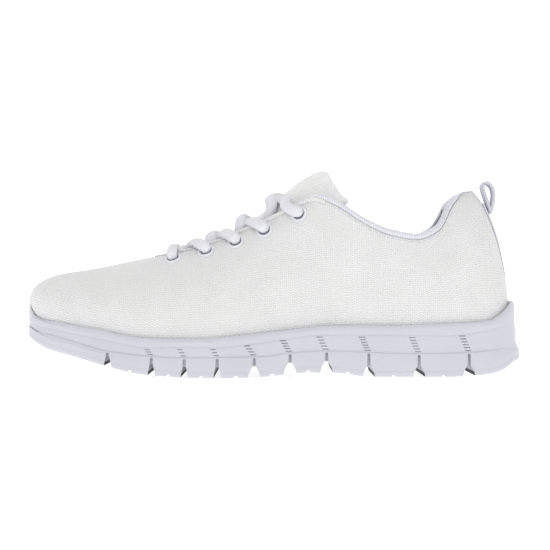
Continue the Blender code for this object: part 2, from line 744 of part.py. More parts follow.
def lace_half(side):
    """Route from the middle of the first bar, up one side's start, to its tucked end."""
    edge = by_throat(side, EYELET_T[0], LACE_ABOVE, 1.4)
    bar = over_tongue(edge.x, 0, LACE_LIFT)
    route = [bar, edge] + lace_hole(side, 0)
    current = side
    for index in range(len(EYELET_T) - 1):
        route += lace_crossing(current, index, over=(side == LATERAL) == (index % 2 == 0))
        current = -current
        route += lace_hole(current, index + 1)
    return route + lace_tail(current)


def lace_tail(side):
    """The end hangs down inside, close along the lining."""
    t = EYELET_T[-1]
    depth = LINING_DEPTH + LINING_THICKNESS + LACE_DIAMETER / 2 + 1.2
    return [upper_point(side, t, s, depth) for s in (0.66, 0.58, 0.50)]


def make_lace():
    start, end = lace_half(LATERAL), lace_half(MEDIAL)
    route = list(reversed(start)) + end[1:]
    tube("lace", route, LACE_DIAMETER / 2)
    for last, before in ((route[0], route[1]), (route[-1], route[-2])):
        along = (last - before).normalized()
        name = "aglet_medial" if last.y > 0 else "aglet_lateral"
        radius = AGLET_DIAMETER / 2
        make_object(name, rod(last, along, radius, GAP, AGLET_LENGTH, 12), "eyelet_plastic")


def tube(name, points, radius):
    """Round tube along the points, with closed ends."""
    curve = bpy.data.curves.new(name, "CURVE")
    curve.dimensions = "3D"
    curve.bevel_depth = radius * MM
    curve.bevel_resolution = 2
    curve.use_fill_caps = True
    spline = curve.splines.new("POLY")
    spline.points.add(len(points) - 1)
    for knot, point in zip(spline.points, points):
        knot.co = (point.x * MM, point.y * MM, point.z * MM, 1)
    obj = bpy.data.objects.new(name, curve)
    shoe_collection.objects.link(obj)
    curve.materials.append(materials["lace_lavender"])


# ---------------------------------------------------------------- tongue and tab
def make_tongue():
    root = Vector(TONGUE_HINGE)
    finishes = {
        "tongue_outer": "mesh_white",
        "tongue_foam": "padding_foam",
        "tongue_lining": "lining_lavender",
    }
    for name, depths in TONGUE_LAYERS.items():
        grids = []
        for depth in depths:
            grids.append([[tongue_point(-1 + 2 * i / 12, k / 16, depth) for i in range(13)]
                          for k in range(17)])
        part = make_object(name, grid_solid(*grids), finishes[name])
        set_origin(part, root)


def set_origin(obj, place):
    """Put the object's origin on its joint without moving its shape."""
    obj.data.transform(Matrix.Translation(-place * MM))
    obj.location = place * MM


def make_pull_tab():
    """Folded strap that stands as a loop behind the collar."""
    tab = make_object("pull_tab", prism(TAB_OUTLINE, TAB_HALF_WIDTH), "lining_lavender")
    boolean(tab, prism(TAB_HOLE, TAB_HALF_WIDTH + 4), "DIFFERENCE")
    set_origin(tab, Vector(TAB_HINGE))


# ---------------------------------------------------------------- scene
def clear_scene():
    for obj in list(bpy.data.objects):
        bpy.data.objects.remove(obj)


def make_materials():
    made = {}
    for name, (colour, roughness, metallic) in MATERIALS.items():
        material = bpy.data.materials.new(name)
        material.use_nodes = True
        shader = material.node_tree.nodes["Principled BSDF"]
        shader.inputs["Base Color"].default_value = (*colour, 1)
        shader.inputs["Roughness"].default_value = roughness
        shader.inputs["Metallic"].default_value = metallic
        made[name] = material
    return made


clear_scene()
shoe_collection = bpy.data.collections.new("running_shoe")
bpy.context.scene.collection.children.link(shoe_collection)
materials = make_materials()
make_midsole()
make_outsole()
make_footbed()
make_toe_upper()
make_quarters()
make_stiffeners()
make_collar_binding()
make_back_strip()
make_eyelets()
make_lace()
make_tongue()
make_pull_tab()
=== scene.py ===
"""Looks for the running shoe: a mesh upper, knit lining and collar, padded tongue,
puffy laces, a foam midsole with flex grooves and rubber pads, in a pale studio.

Shapes are worked out in millimetres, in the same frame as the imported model.
"""

from functools import cache
from math import copysign, cos, dist, pi, radians, sin, sqrt

import bmesh
import bpy
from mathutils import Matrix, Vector


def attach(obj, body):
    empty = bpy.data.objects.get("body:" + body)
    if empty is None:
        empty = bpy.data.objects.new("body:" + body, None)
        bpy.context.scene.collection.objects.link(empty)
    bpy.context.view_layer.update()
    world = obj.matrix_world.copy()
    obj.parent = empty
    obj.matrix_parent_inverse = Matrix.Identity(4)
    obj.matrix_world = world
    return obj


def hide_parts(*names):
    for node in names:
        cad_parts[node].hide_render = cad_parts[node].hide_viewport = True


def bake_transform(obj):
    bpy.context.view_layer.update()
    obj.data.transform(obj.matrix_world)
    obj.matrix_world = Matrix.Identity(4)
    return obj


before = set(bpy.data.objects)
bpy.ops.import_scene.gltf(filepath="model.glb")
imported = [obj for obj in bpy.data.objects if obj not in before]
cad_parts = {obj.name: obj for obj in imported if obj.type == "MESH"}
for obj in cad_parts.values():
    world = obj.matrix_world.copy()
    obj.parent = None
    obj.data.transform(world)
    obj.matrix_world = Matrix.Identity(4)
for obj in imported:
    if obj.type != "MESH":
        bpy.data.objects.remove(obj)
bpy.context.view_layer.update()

MM = 0.001
LATERAL, MEDIAL = SIDES = (-1, 1)
SIDE_NAMES = {LATERAL: "lateral", MEDIAL: "medial"}
GAP = 0.3

# ---- driving shape
# Half outline of the sole at its widest level, toe tip to heel centre: (x, half width).
OUTLINE = [
    (-140, 0), (-138, 13), (-131, 25), (-118, 35), (-98, 44), (-70, 49.5), (-40, 49),
    (-5, 43), (30, 38), (65, 36.5), (95, 37), (118, 33), (132, 22), (138, 11), (140, 0),
]
CENTRE_LINE = [(-140, 6), (-100, 3), (-60, -0.5), (0, -3.5), (50, -2), (140, 0)]
# Heights along the sole: (x, z).
BOTTOM = [
    (-138, 20.5), (-126, 15), (-111, 11.4), (-95, 7.2), (-83, 4.2), (-73, 2.2), (-60, 1),
    (-40, 0), (-14, 0), (2, 1.2), (18, 2.6), (30, 2.6), (42, 1.5), (54, 0), (96, 0),
    (105, 0.4), (115, 0.9), (122, 1.8), (129, 3.8), (135, 7.5),
]
LUG_LINE = [
    (-139, 25), (-126, 23.3), (-111, 19.6), (-90, 14.4), (-70, 12.2), (-51, 11.1), (-3, 11.7),
    (8, 13.3), (28, 14.4), (76, 12.8), (110, 13.5), (138, 17),
]
BAND_LINE = [
    (-139, 31), (-128, 27.1), (-111, 23.6), (-90, 19.8), (-70, 16.5), (-32, 16.5), (-12, 18.2),
    (8, 20.9), (28, 23), (95, 22.5), (105, 23.1), (116, 25), (129, 28.7), (136, 32),
]
RIM_TOP = [
    (-138, 39.7), (-134, 33.5), (-128, 31), (-120, 30.2), (-106, 27.9), (-92, 25.7), (-79, 23),
    (-66, 21.9), (-40, 21.4), (-20, 23), (0, 25.2), (18, 27.3), (31, 28.4), (63, 28.4),
    (96, 29.5), (119, 31), (127, 35), (134, 41.5),
]
CUP_FLOOR = [
    (-138, 27), (-120, 21.5), (-105, 18), (-90, 16), (-66, 14.5), (-30, 15.5), (0, 18.5),
    (30, 21.5), (60, 22.5), (130, 23),
]
PAD_THICKNESS = 3.2
GROOVE_X = [-90.3, -66, -48.1, -30.3, -10.3, 9.2, 29.2, 52.4, 80, 107.6]
LAST_NARROW_GROOVE = GROOVE_X[3]
SLOT_HALF_WIDTH, SLOT_DEPTH = 0.95, 2.6
NARROW_MOUTH, WIDE_MOUTH = 2.4, 4.0
MOUTH_HEIGHT = 6.0
# Slits above the grooves; for narrow and wide grooves, their length and slant.
SLIT_SPACING, SLIT_DEPTH, SLIT_HEIGHT = 1.5, 2.0, 0.5
NARROW_SLIT, WIDE_SLIT = (2.8, 1.8), (3.4, 3.2)
# How high up the grooves' walls the painted shade reaches.
GROOVE_SHADE_HEIGHT = 2.4
# Notch in the middle of a pad: half widths at its foot and top, and its height.
NOTCH_FOOT, NOTCH_TOP, NOTCH_HEIGHT = 1.9, 0.9, 1.2
# Cutting bodies reach this far along, across, below and above the shoe.
FAR, ASIDE, BELOW, ABOVE = 200, 80, -20, 90

RIM_INSET = [(0, 0.3), (0.1, 1.2), (0.85, 1.2), (0.95, 2.4), (1, 3)]
RIM_THICKNESS = 2.6
TUCK = [(0, 3.0), (0.2, 2.0), (0.85, 1.7), (1, 1.2)]
# The rim's inner lip leans on the upper; it is thin under the toe's bulge.
LIP_WIDTH = [(0, 1.7), (0.06, 2.4), (0.16, 4.0), (0.9, 4.0), (1, 3.6)]

# Top edge of the upper: (t, x, half width, z)
TOP_EDGE = [
    (0, -108, 0, 58), (0.10, -104, 0, 58.9), (0.19, -94, 0, 61), (0.275, -74, 0, 65.2),
    (0.30, -66, 7, 66.6), (0.34, -53, 12.5, 69.5),
    (0.40, -33, 14.5, 75.2), (0.46, -14, 16.5, 83), (0.50, -1.5, 18, 88.5),
    (0.54, 11, 20.5, 94.6), (0.58, 22.5, 24, 99), (0.615, 34, 27.5, 94.5),
    (0.66, 50, 30, 84.3), (0.70, 64, 30.5, 78), (0.745, 79, 29.5, 75.4),
    (0.80, 92, 26.5, 80.5), (0.85, 100.5, 21.5, 95), (0.90, 107, 15, 102),
    (0.95, 112, 8, 103), (1, 114, 0, 102.8),
]
# The upper's halves meet in a ridge from the toe to here, where the throat opens.
RIDGE_END = 0.276
# Handles of the upper's ribs: (t, bulge out, rise share, reach share, drop at the top edge)
RIB_SHAPE = [
    (0, 17.5, 0.81, 0.64, 0.5), (0.07, 13.5, 0.76, 0.62, 0.3),
    (0.19, 7, 0.65, 0.6, 0), (0.285, 6, 0.6, 0.55, 0),
    (0.34, 5, 0.5, 0.4, 4), (0.40, 5, 0.5, 0.38, 7), (0.50, 4, 0.45, 0.3, 11),
    (0.58, 3.5, 0.4, 0.2, 14), (0.70, 4, 0.45, 0.3, 12), (0.80, 4.5, 0.45, 0.25, 13),
    (0.90, 5, 0.45, 0.4, 8), (1, 4, 0.35, 0.5, 8),
]
OUTER_THICKNESS = 1.4
LINING_DEPTH, LINING_THICKNESS = 3.1, 0.9
COLLAR_PADDING, HEEL_PADDING = 4.6, 7.6
COLLAR_START, COLLAR_FULL = 0.56, 0.64
# Top edge of the lining, as a share s: under the eyestays and at the collar.
LINING_TOP_LOW, LINING_TOP_HIGH = 0.74, 0.995
# The collar's roll: where it starts, and where it is full.
ROLL_START, ROLL_FULL = 0.568, 0.62
ROLL_HALF_HEIGHT = 2.2
# Ends of the binding along each side of the throat.
BINDING_START, BINDING_END = 0.298, 0.60
# Section of that binding: (depth, rise over the edge).
BINDING_FOLD = [
    (-0.05, -2.3), (-0.4, -2.1), (-0.5, -0.7), (-0.3, 0.3), (0.3, 0.65), (1.1, 0.65),
    (1.7, 0.3), (1.9, -0.7), (1.8, -2.1), (1.45, -2.3), (1.45, 0.05), (-0.05, 0.05),
]
# Rows of stitches: (start t, end t, distance below the edge).
STITCH_ROWS = [(0.31, 0.58, 3.2), (0.605, 0.97, 1.4)]
STITCH_LENGTH, STITCH_GAP, STITCH_RADIUS = 1.5, 0.6, 0.2
STITCH_LIFT = 0.12

EYELET_T = [0.332, 0.388, 0.440, 0.490, 0.551]
# Distance of the eyelets from the throat's edge: (t, distance).
EYELET_BELOW_EDGE = [(0.332, 8.4), (0.44, 7.8), (0.551, 6.3)]
# Eyelet ring: its radii, and the middle, half width, base and rise of its rounded crown.
EYELET_INNER, EYELET_OUTER = 2.9, 4.7
CROWN_RADIUS, CROWN_HALF_WIDTH, CROWN_BASE, CROWN_RISE = 3.95, 0.75, 0.45, 0.65

LACE_WIDTH, LACE_THICKNESS = 6.8, 4.2
# How far the lace's middle line runs under the throat's edge, over it and over an eyelet.
LACE_BELOW = 4.6
LACE_ABOVE = LACE_THICKNESS / 2 + 0.6
LACE_OVER_EYELET = LACE_THICKNESS / 2 + 1.4
# How far it runs above the tongue, and how much higher where it crosses itself.
LACE_LIFT = LACE_THICKNESS / 2 - 0.4
LACE_STACK = 2.2
# Distance from the tongue's middle line at which the lace bends over it.
SHOULDER = 6.0
# How far in t before an eyelet the lace leaves the throat, or comes back to it.
LEAVE_LEAD, ARRIVE_LEAD = 0.006, 0.020
# Distance of those two places from the throat's edge.
LEAVE_INWARD, ARRIVE_INWARD = 2.4, 1.4
# Places of the lace's tucked ends, as shares s of the upper's height.
LACE_TAIL = (0.66, 0.58, 0.50)
# How far along a crossing the lace crosses the tongue's middle line.
MIDDLE_SHARE = 0.45
# Shares of the lace's width: over an eyelet, in it, leaving it and tucked in.
OVER_WIDTH, INSIDE_WIDTH, LEAVING_WIDTH, TUCKED_WIDTH = 0.95, 0.7, 0.75, 0.6

# The tongue's middle line: (share of its length, x, z, half width, drop at the sides).
TONGUE = [
    (0, -77, 59, 12, 1), (0.1, -63, 61.6, 13, 3), (0.22, -46, 69.4, 14.5, 6), (0.36, -30, 77, 16, 8),
    (0.54, -13, 86.7, 16.8, 10), (0.66, -1, 95, 17, 12.5), (0.74, 6.5, 102.3, 16.5, 16),
    (0.83, 14, 108.3, 16.8, 17.5), (0.925, 23, 113.6, 17.5, 18), (1, 30, 116.2, 18, 18),
]
HUMP_HALF_WIDTH = 17.0
TONGUE_SIDE_SLOPE = 0.4
# How quickly the tongue's face turns to the side.
SIDE_TILT = 1.6
TONGUE_THICKNESS = 6.4
# The tongue's face and back meet at this depth, a little way apart.
TONGUE_SEAM, SEAM_GAP = 3.2, 0.05
# The tongue's top corners reach this far past its middle.
TONGUE_WINGS = 4.5
# Shares of the tongue's middle line: start of the swinging part, end of the sheet under it.
TONGUE_ROOT, GUSSET_END = 0.155, 0.2
GUSSET_DEPTH, GUSSET_THICKNESS = 0.8, 0.9
# Shares of the sheet's length between which it drops under the tongue's root.
GUSSET_DROP = (0.6, 0.76)

# The heel strip: half its width as a share t; its ends and where it is full, as shares s.
STRIP_HALF_WIDTH = 0.025
STRIP_LOW, STRIP_FULL, STRIP_HIGH = 4 / 12, 8 / 12, 10 / 12

# Middle line of the pull tab's loop, (x, z), and the strap's section.
TAB_LOOP = [
    (123.2, 91.2), (124.5, 95), (125.2, 99), (125.25, 102.6), (124.3, 105.9), (122.2, 108.2),
    (119.7, 108.2), (118.5, 106.4), (118.8, 104), (119.7, 101.2), (120.9, 97.8), (122.1, 94.2),
]
TAB_HALF_WIDTH, TAB_HALF_THICKNESS, TAB_SHIFT = 5.8, 1.05, 0.3

# The toe bends about this line; fabric above it needs a longer zone than foam below it.
FLEX_X = -66.0
# Zones of that bend: (rear end, front end, height).
UPPER_ZONE, SOLE_ZONE = (FLEX_X + 22, FLEX_X - 22, 40), (FLEX_X + 8, FLEX_X - 8, 20)
GUSSET_ZONE = (FLEX_X + 8, FLEX_X - 22, 40)


# ---- curves
def secant(rows, i, column):
    return (rows[i + 1][column] - rows[i][column]) / (rows[i + 1][0] - rows[i][0])


def knot_slope(rows, i, column):
    """Slope at row i: the harmonic mean of its two secants, and level at a peak."""
    if i == 0:
        return secant(rows, 0, column)
    if i == len(rows) - 1:
        return secant(rows, i - 1, column)
    before, after = secant(rows, i - 1, column), secant(rows, i, column)
    if before * after <= 0:
        return 0.0
    return 2 * before * after / (before + after)


def read_curve(rows, key):
    """Read a table of (key, value, ...) rows as smooth curves that never overshoot."""
    if key <= rows[0][0]:
        return rows[0][1:]
    if key >= rows[-1][0]:
        return rows[-1][1:]
    i = max(k for k in range(len(rows) - 1) if rows[k][0] <= key)
    step = rows[i + 1][0] - rows[i][0]
    f = (key - rows[i][0]) / step
    values = []
    for column in range(1, len(rows[0])):
        start, end = rows[i][column], rows[i + 1][column]
        slope_in, slope_out = knot_slope(rows, i, column), knot_slope(rows, i + 1, column)
        values.append(
            start * (1 + 2 * f) * (1 - f) ** 2 + end * f * f * (3 - 2 * f)
            + step * (slope_in * f * (1 - f) ** 2 + slope_out * f * f * (f - 1))
        )
    return tuple(values)


def height(rows, x):
    return read_curve(rows, x)[0]


def even_steps(low, high, count):
    return [low + (high - low) * k / count for k in range(count + 1)]


def full_turn(count):
    """Angles of count corners, evenly round a circle."""
    return [2 * pi * k / count for k in range(count)]


def signed_power(value, power):
    return copysign(abs(value) ** power, value)


def smooth_step(low, high, value):
    """0 up to low, 1 from high on, and a smooth rise between them."""
    f = min(max((value - low) / (high - low), 0), 1)
    return f * f * (3 - 2 * f)


def smooth_path(points, per_span):
    """Catmull-Rom curve through the points, with per_span points for each span."""
    ends = [points[0] * 2 - points[1]] + list(points) + [points[-1] * 2 - points[-2]]
    path = []
    for a, b, c, d in zip(ends, ends[1:], ends[2:], ends[3:]):
        for step in range(per_span):
            f = step / per_span
            path.append(
                0.5 * (2 * b + (c - a) * f + (2 * a - 5 * b + 4 * c - d) * f * f
                       + (3 * b - a - 3 * c + d) * f ** 3)
            )
    return path + [points[-1]]


def outline_by_length():
    lengths = [0.0]
    for a, b in zip(OUTLINE, OUTLINE[1:]):
        lengths.append(lengths[-1] + dist(a, b))
    return [(s / lengths[-1], x, width) for s, (x, width) in zip(lengths, OUTLINE)]


OUTLINE_CURVE = outline_by_length()
OUTLINE_LENGTH = sum(dist(a, b) for a, b in zip(OUTLINE, OUTLINE[1:]))


# ---- surfaces
def outline_normal(t):
    if t <= 0 or t >= 1:
        return Vector((-1, 0)) if t <= 0 else Vector((1, 0))
    step = 0.01
    before = Vector(read_curve(OUTLINE_CURVE, t - step))
    after = Vector(read_curve(OUTLINE_CURVE, t + step))
    along = (after - before).normalized()
    return Vector((-along.y, along.x))


def sole_point(side, t, inset, rows, rise=0.0):
    """A point of the sole: the outline moved in by inset, at the height that rows give."""
    flat = Vector(read_curve(OUTLINE_CURVE, t)) - outline_normal(t) * inset
    level = height(rows, flat.x) + rise
    return Vector((flat.x, side * max(flat.y, 0) + height(CENTRE_LINE, flat.x), level))


def rim_inset(t):
    return height(RIM_INSET, t)


def cup_inset(t):
    return rim_inset(t) + RIM_THICKNESS + GAP + height(TUCK, t)


# Length of a rib over the straight line between its ends.
RIB_CURVATURE = 1.15


@cache
def rib_points(side, t):
    """The four Bezier points of the upper's rib at t, from the cup to its top edge."""
    bulge, rise, reach, drop = read_curve(RIB_SHAPE, t)
    bottom = sole_point(side, t, cup_inset(t), CUP_FLOOR, GAP)
    top_x, top_width, top_z = read_curve(TOP_EDGE, t)
    top = Vector((top_x, side * top_width + height(CENTRE_LINE, top_x), top_z))
    out = outline_normal(t)
    low = bottom + Vector((out.x * bulge, side * out.y * bulge, rise * (top_z - bottom.z)))
    high = top + Vector(((bottom.x - top.x) * reach, (bottom.y - top.y) * reach, -drop))
    return bottom, low, high, top


def upper_surface(side, t, s):
    """The upper's outer face: t along it from toe to heel, s from its foot to its top edge."""
    a, b, c, d = rib_points(side, t)
    r = 1 - s
    return a * r ** 3 + b * (3 * s * r * r) + c * (3 * s * s * r) + d * s ** 3


def upper_normal(side, t, s):
    step = 0.004
    t_low, t_high = max(t - step, 0), min(t + step, 1)
    s_low, s_high = max(s - step, 0), min(s + step, 1)
    along = upper_surface(side, t_high, s) - upper_surface(side, t_low, s)
    up = upper_surface(side, t, s_high) - upper_surface(side, t, s_low)
    if t < step or t > 1 - step:
        along = Vector((0, side if t < step else -side, 0))
    if s > 1 - step and t < RIDGE_END:
        up = Vector((0, -side, 0))
    return up.cross(along).normalized() * side


def upper_point(side, t, s, depth):
    return upper_surface(side, t, s) - upper_normal(side, t, s) * depth


def collar_share(t, s):
    return smooth_step(COLLAR_START, COLLAR_FULL, t) * smooth_step(0.45, 0.8, s)


def lining_depth(t, s):
    padding = COLLAR_PADDING + (HEEL_PADDING - COLLAR_PADDING) * smooth_step(0.76, 0.88, t)
    return LINING_DEPTH + padding * collar_share(t, s)


def tongue_point(v, u, depth):
    """A point of the tongue: v from -1 to 1 across it, u from its root to its tip."""
    x, z, half_width, hump = read_curve(TONGUE, u)
    x_next, z_next = read_curve(TONGUE, min(u + 0.01, 1))[:2]
    x_last, z_last = read_curve(TONGUE, max(u - 0.01, 0))[:2]
    along = Vector((x_next - x_last, 0, z_next - z_last)).normalized()
    lift = Vector((-along.z, 0, along.x))
    y = v * half_width
    share = min(abs(y) / HUMP_HALF_WIDTH, 1)
    drop = hump * (1 - cos(pi * share)) / 2
    drop += max(abs(y) - HUMP_HALF_WIDTH, 0) * TONGUE_SIDE_SLOPE
    wing = TONGUE_WINGS * share ** 2 * smooth_step(0.75, 1, u)
    centre = Vector((x, y + height(CENTRE_LINE, x), z))
    return centre - lift * (drop + depth) + along * wing


# ---- mesh helpers
def grid_mesh(bm, grid, uvs, flip=False):
    """Quads over a grid of points, with a UV in metres for each point."""
    layer = bm.loops.layers.uv.verify()
    rows = [[bm.verts.new(point) for point in row] for row in grid]
    for j in range(len(rows) - 1):
        for i in range(len(rows[0]) - 1):
            corners = [(j, i), (j, i + 1), (j + 1, i + 1), (j + 1, i)]
            if flip:
                corners.reverse()
            face = bm.faces.new([rows[a][b] for a, b in corners])
            for loop, (a, b) in zip(face.loops, corners):
                loop[layer].uv = uvs[a][b]
    return rows


def border(rows):
    """The vertices round a grid, in order."""
    right = [row[-1] for row in rows[1:-1]]
    left = [row[0] for row in rows[-2:0:-1]]
    return list(rows[0]) + right + list(reversed(rows[-1])) + left


def join_rings(bm, rings, place_uv=None, closed=False, capped=True):
    """Quads from ring to ring, with UVs by (ring, corner); the open ends are capped."""
    if place_uv:
        layer = bm.loops.layers.uv.verify()
    size = len(rings[0])
    for k in range(len(rings) if closed else len(rings) - 1):
        here, there = rings[k], rings[(k + 1) % len(rings)]
        for m in range(size):
            n = (m + 1) % size
            face = bm.faces.new([here[m], here[n], there[n], there[m]])
            if place_uv:
                corners = [(k, m), (k, m + 1), (k + 1, m + 1), (k + 1, m)]
                for loop, corner in zip(face.loops, corners):
                    loop[layer].uv = place_uv(*corner)
    if capped and not closed:
        bm.faces.new(rings[0])
        bm.faces.new(rings[-1])


def drop_inner_walls(bm):
    """Delete the faces between two halves that were welded into one body."""
    inner = [face for face in bm.faces
             if sum(len(edge.link_faces) > 2 for edge in face.edges) >= 2]
    bmesh.ops.delete(bm, geom=inner, context="FACES")


def add_object(name, data):
    obj = bpy.data.objects.new(name, data)
    bpy.context.scene.collection.objects.link(obj)
    return obj


def finish_mesh(name, bm, material, smooth=True, weld=0.02):
    """Weld a millimetre mesh, turn its faces outwards and make it an object in metres."""
    bmesh.ops.remove_doubles(bm, verts=bm.verts, dist=weld)
    drop_inner_walls(bm)
    bmesh.ops.recalc_face_normals(bm, faces=bm.faces)
    bmesh.ops.scale(bm, vec=(MM, MM, MM), verts=bm.verts)
    mesh = bpy.data.meshes.new(name)
    bm.to_mesh(mesh)
    bm.free()
    if smooth:
        mesh.shade_smooth()
    mesh.materials.append(material)
    return add_object(name, mesh)


def layer_mesh(name, material, uvs, outer, inner):
    """Closed sheet between two grids of points."""
    bm = bmesh.new()
    loops = [border(grid_mesh(bm, outer, uvs)), border(grid_mesh(bm, inner, uvs, flip=True))]
    join_rings(bm, loops, capped=False)
    return finish_mesh(name, bm, material)


def rib_length(side, t):
    low, _, _, high = rib_points(side, t)
    return (high - low).length * RIB_CURVATURE


def shell_piece(name, columns, s_values, depth_out, depth_in, material):
    """Closed layer of the upper between two depths, with UVs in metres along and up it."""
    uvs = [[(side * t * OUTLINE_LENGTH * MM, s * rib_length(side, t) * MM) for side, t in columns]
           for s in s_values]
    outer, inner = ([[upper_point(side, t, s, depth(t, s)) for side, t in columns]
                     for s in s_values] for depth in (depth_out, depth_in))
    return layer_mesh(name, material, uvs, outer, inner)


def all_round(count):
    """Columns from the heel round the toe and back: lateral side, then medial."""
    steps = [t for t in even_steps(0, 1, count) if abs(t - RIDGE_END) > 0.3 / count]
    return [(LATERAL, t) for t in reversed(steps)] + [(MEDIAL, t) for t in steps[1:]]


def sole_loft(levels, count):
    """Closed body through rings round the sole; each level is (inset of t, rows, rise)."""
    bm = bmesh.new()
    layer = bm.loops.layers.uv.verify()
    rings = [[[bm.verts.new(sole_point(side, t, inset(t), rows, rise))
               for t in even_steps(0, 1, count)] for side in SIDES]
             for inset, rows, rise in levels]
    strips = [strip for a, b in zip(rings, rings[1:]) for strip in zip(a, b)]
    for here, there in strips + [rings[0], rings[-1]]:
        for k in range(count):
            bm.faces.new([here[k], here[k + 1], there[k + 1], there[k]])
    for face in bm.faces:
        for loop in face.loops:
            x, y, z = loop.vert.co
            loop[layer].uv = (x * MM, (z + abs(y)) * MM)
    return bm


def prism(polygon):
    """Body with an (x, z) outline, wider than the shoe."""
    bm = bmesh.new()
    join_rings(bm, [[bm.verts.new((x, y, z)) for x, z in polygon] for y in (-ASIDE, ASIDE)])
    return bm


def cut(obj, cutter, operation="DIFFERENCE"):
    """Boolean with a millimetre body or with another object, applied at once."""
    if isinstance(cutter, bmesh.types.BMesh):
        cutter = finish_mesh("cutter", cutter, obj.data.materials[0], smooth=False)
    modifier = obj.modifiers.new("cut", "BOOLEAN")
    modifier.solver = "EXACT"
    modifier.operation = operation
    modifier.object = cutter
    graph = bpy.context.evaluated_depsgraph_get()
    result = bpy.data.meshes.new_from_object(obj.evaluated_get(graph))
    obj.modifiers.clear()
    obj.data = result
    bpy.data.objects.remove(cutter)


def shade_by_angle(obj, angle):
    obj.data.shade_smooth()
    obj.data.set_sharp_from_angle(angle=radians(angle))


# ---- materials
def set_input(node, name, value):
    node.inputs[name].default_value = value


def new_material(name, colour, roughness):
    material = bpy.data.materials.new(name)
    material.use_nodes = True
    shader = material.node_tree.nodes["Principled BSDF"]
    set_input(shader, "Base Color", (*colour, 1))
    set_input(shader, "Roughness", roughness)
    return material, material.node_tree, shader


def math_node(tree, operation, *values):
    """A calculation on numbers and on other nodes' outputs."""
    node = tree.nodes.new("ShaderNodeMath")
    node.operation = operation
    for socket, value in zip(node.inputs, values):
        if isinstance(value, (int, float)):
            socket.default_value = value
        else:
            tree.links.new(value, socket)
    return node.outputs[0]


def tint(tree, factor, dark, light):
    mix = tree.nodes.new("ShaderNodeMix")
    mix.data_type = "RGBA"
    tree.links.new(factor, mix.inputs["Factor"])
    set_input(mix, "A", (*dark, 1))
    set_input(mix, "B", (*light, 1))
    return mix.outputs["Result"]


def add_bump(tree, shader, heights, strength, distance):
    bump = tree.nodes.new("ShaderNodeBump")
    set_input(bump, "Strength", strength)
    set_input(bump, "Distance", distance)
    tree.links.new(heights, bump.inputs["Height"])
    tree.links.new(bump.outputs["Normal"], shader.inputs["Normal"])


def noise(tree, vector, scale, detail=2.0):
    node = tree.nodes.new("ShaderNodeTexNoise")
    set_input(node, "Scale", scale)
    set_input(node, "Detail", detail)
    tree.links.new(vector, node.inputs["Vector"])
    return node.outputs["Fac"]


def split_uv(tree):
    """The UV coordinates, whole and as U and V."""
    uv = tree.nodes.new("ShaderNodeTexCoord").outputs["UV"]
    split = tree.nodes.new("ShaderNodeSeparateXYZ")
    tree.links.new(uv, split.inputs[0])
    return uv, split.outputs["X"], split.outputs["Y"]


def waves(tree, along, pitch):
    return math_node(tree, "SINE", math_node(tree, "MULTIPLY", along, 2 * pi / pitch))


def zigzag_height(tree, u, v, pitch, chevron, slope):
    """Raised threads in chevrons: pitch between threads, chevron across a fold."""
    fold = math_node(tree, "PINGPONG", u, chevron)
    thread = waves(tree, math_node(tree, "MULTIPLY_ADD", fold, slope, v), pitch)
    knots = math_node(tree, "MULTIPLY", waves(tree, u, pitch * 0.9), 0.3)
    mixed = math_node(tree, "MULTIPLY_ADD", thread, 0.7, knots)
    return math_node(tree, "MULTIPLY_ADD", mixed, 0.5, 0.5)


def dye_cloth(tree, shader, level, colours, relief, patches, patch_share):
    """Colour and relief from the threads' height, the low places between threads painted darker as shade,
    with soft uneven patches and some sheen.
    """
    # The threads' low places get the dark colour: painted shade of the weave.
    threads = math_node(tree, "MULTIPLY", level, 0.75)
    shade = math_node(tree, "MULTIPLY_ADD", patches, patch_share, threads)
    tree.links.new(tint(tree, shade, *colours), shader.inputs["Base Color"])
    add_bump(tree, shader, level, *relief)
    set_input(shader, "Sheen Weight", 0.2)


def woven_material(name, dark, light, pitch, chevron, slope, strength):
    """Woven or knitted cloth with chevron threads."""
    material, tree, shader = new_material(name, light, 0.85)
    uv, u, v = split_uv(tree)
    level = zigzag_height(tree, u, v, pitch, chevron, slope)
    dye_cloth(tree, shader, level, (dark, light), (strength, pitch * 0.4), noise(tree, uv, 60), 0.35)
    set_input(shader, "Sheen Roughness", 0.6)
    return material


def ribbed_material(name, dark, light, pitch, strength):
    """Knit with ribs across its length, which the U direction follows."""
    material, tree, shader = new_material(name, light, 0.9)
    uv, u, _ = split_uv(tree)
    level = math_node(tree, "MULTIPLY_ADD", waves(tree, u, pitch), 0.4, 0.5)
    dye_cloth(tree, shader, level, (dark, light), (strength, pitch * 0.4), noise(tree, uv, 900), 0.4)
    return material


def moulded_material(name, dark, light, roughness, grain_scale, strength):
    """Moulded foam or rubber: a fine grain, and faint scuffs in its colour and shine."""
    material, tree, shader = new_material(name, light, roughness)
    place = tree.nodes.new("ShaderNodeTexCoord").outputs["Object"]
    scuffs = noise(tree, place, 35, 4)
    tree.links.new(tint(tree, scuffs, dark, light), shader.inputs["Base Color"])
    add_bump(tree, shader, noise(tree, place, grain_scale, 3), strength, 0.0002)
    wear = math_node(tree, "MULTIPLY_ADD", scuffs, 0.2, roughness - 0.1)
    tree.links.new(wear, shader.inputs["Roughness"])
    return material
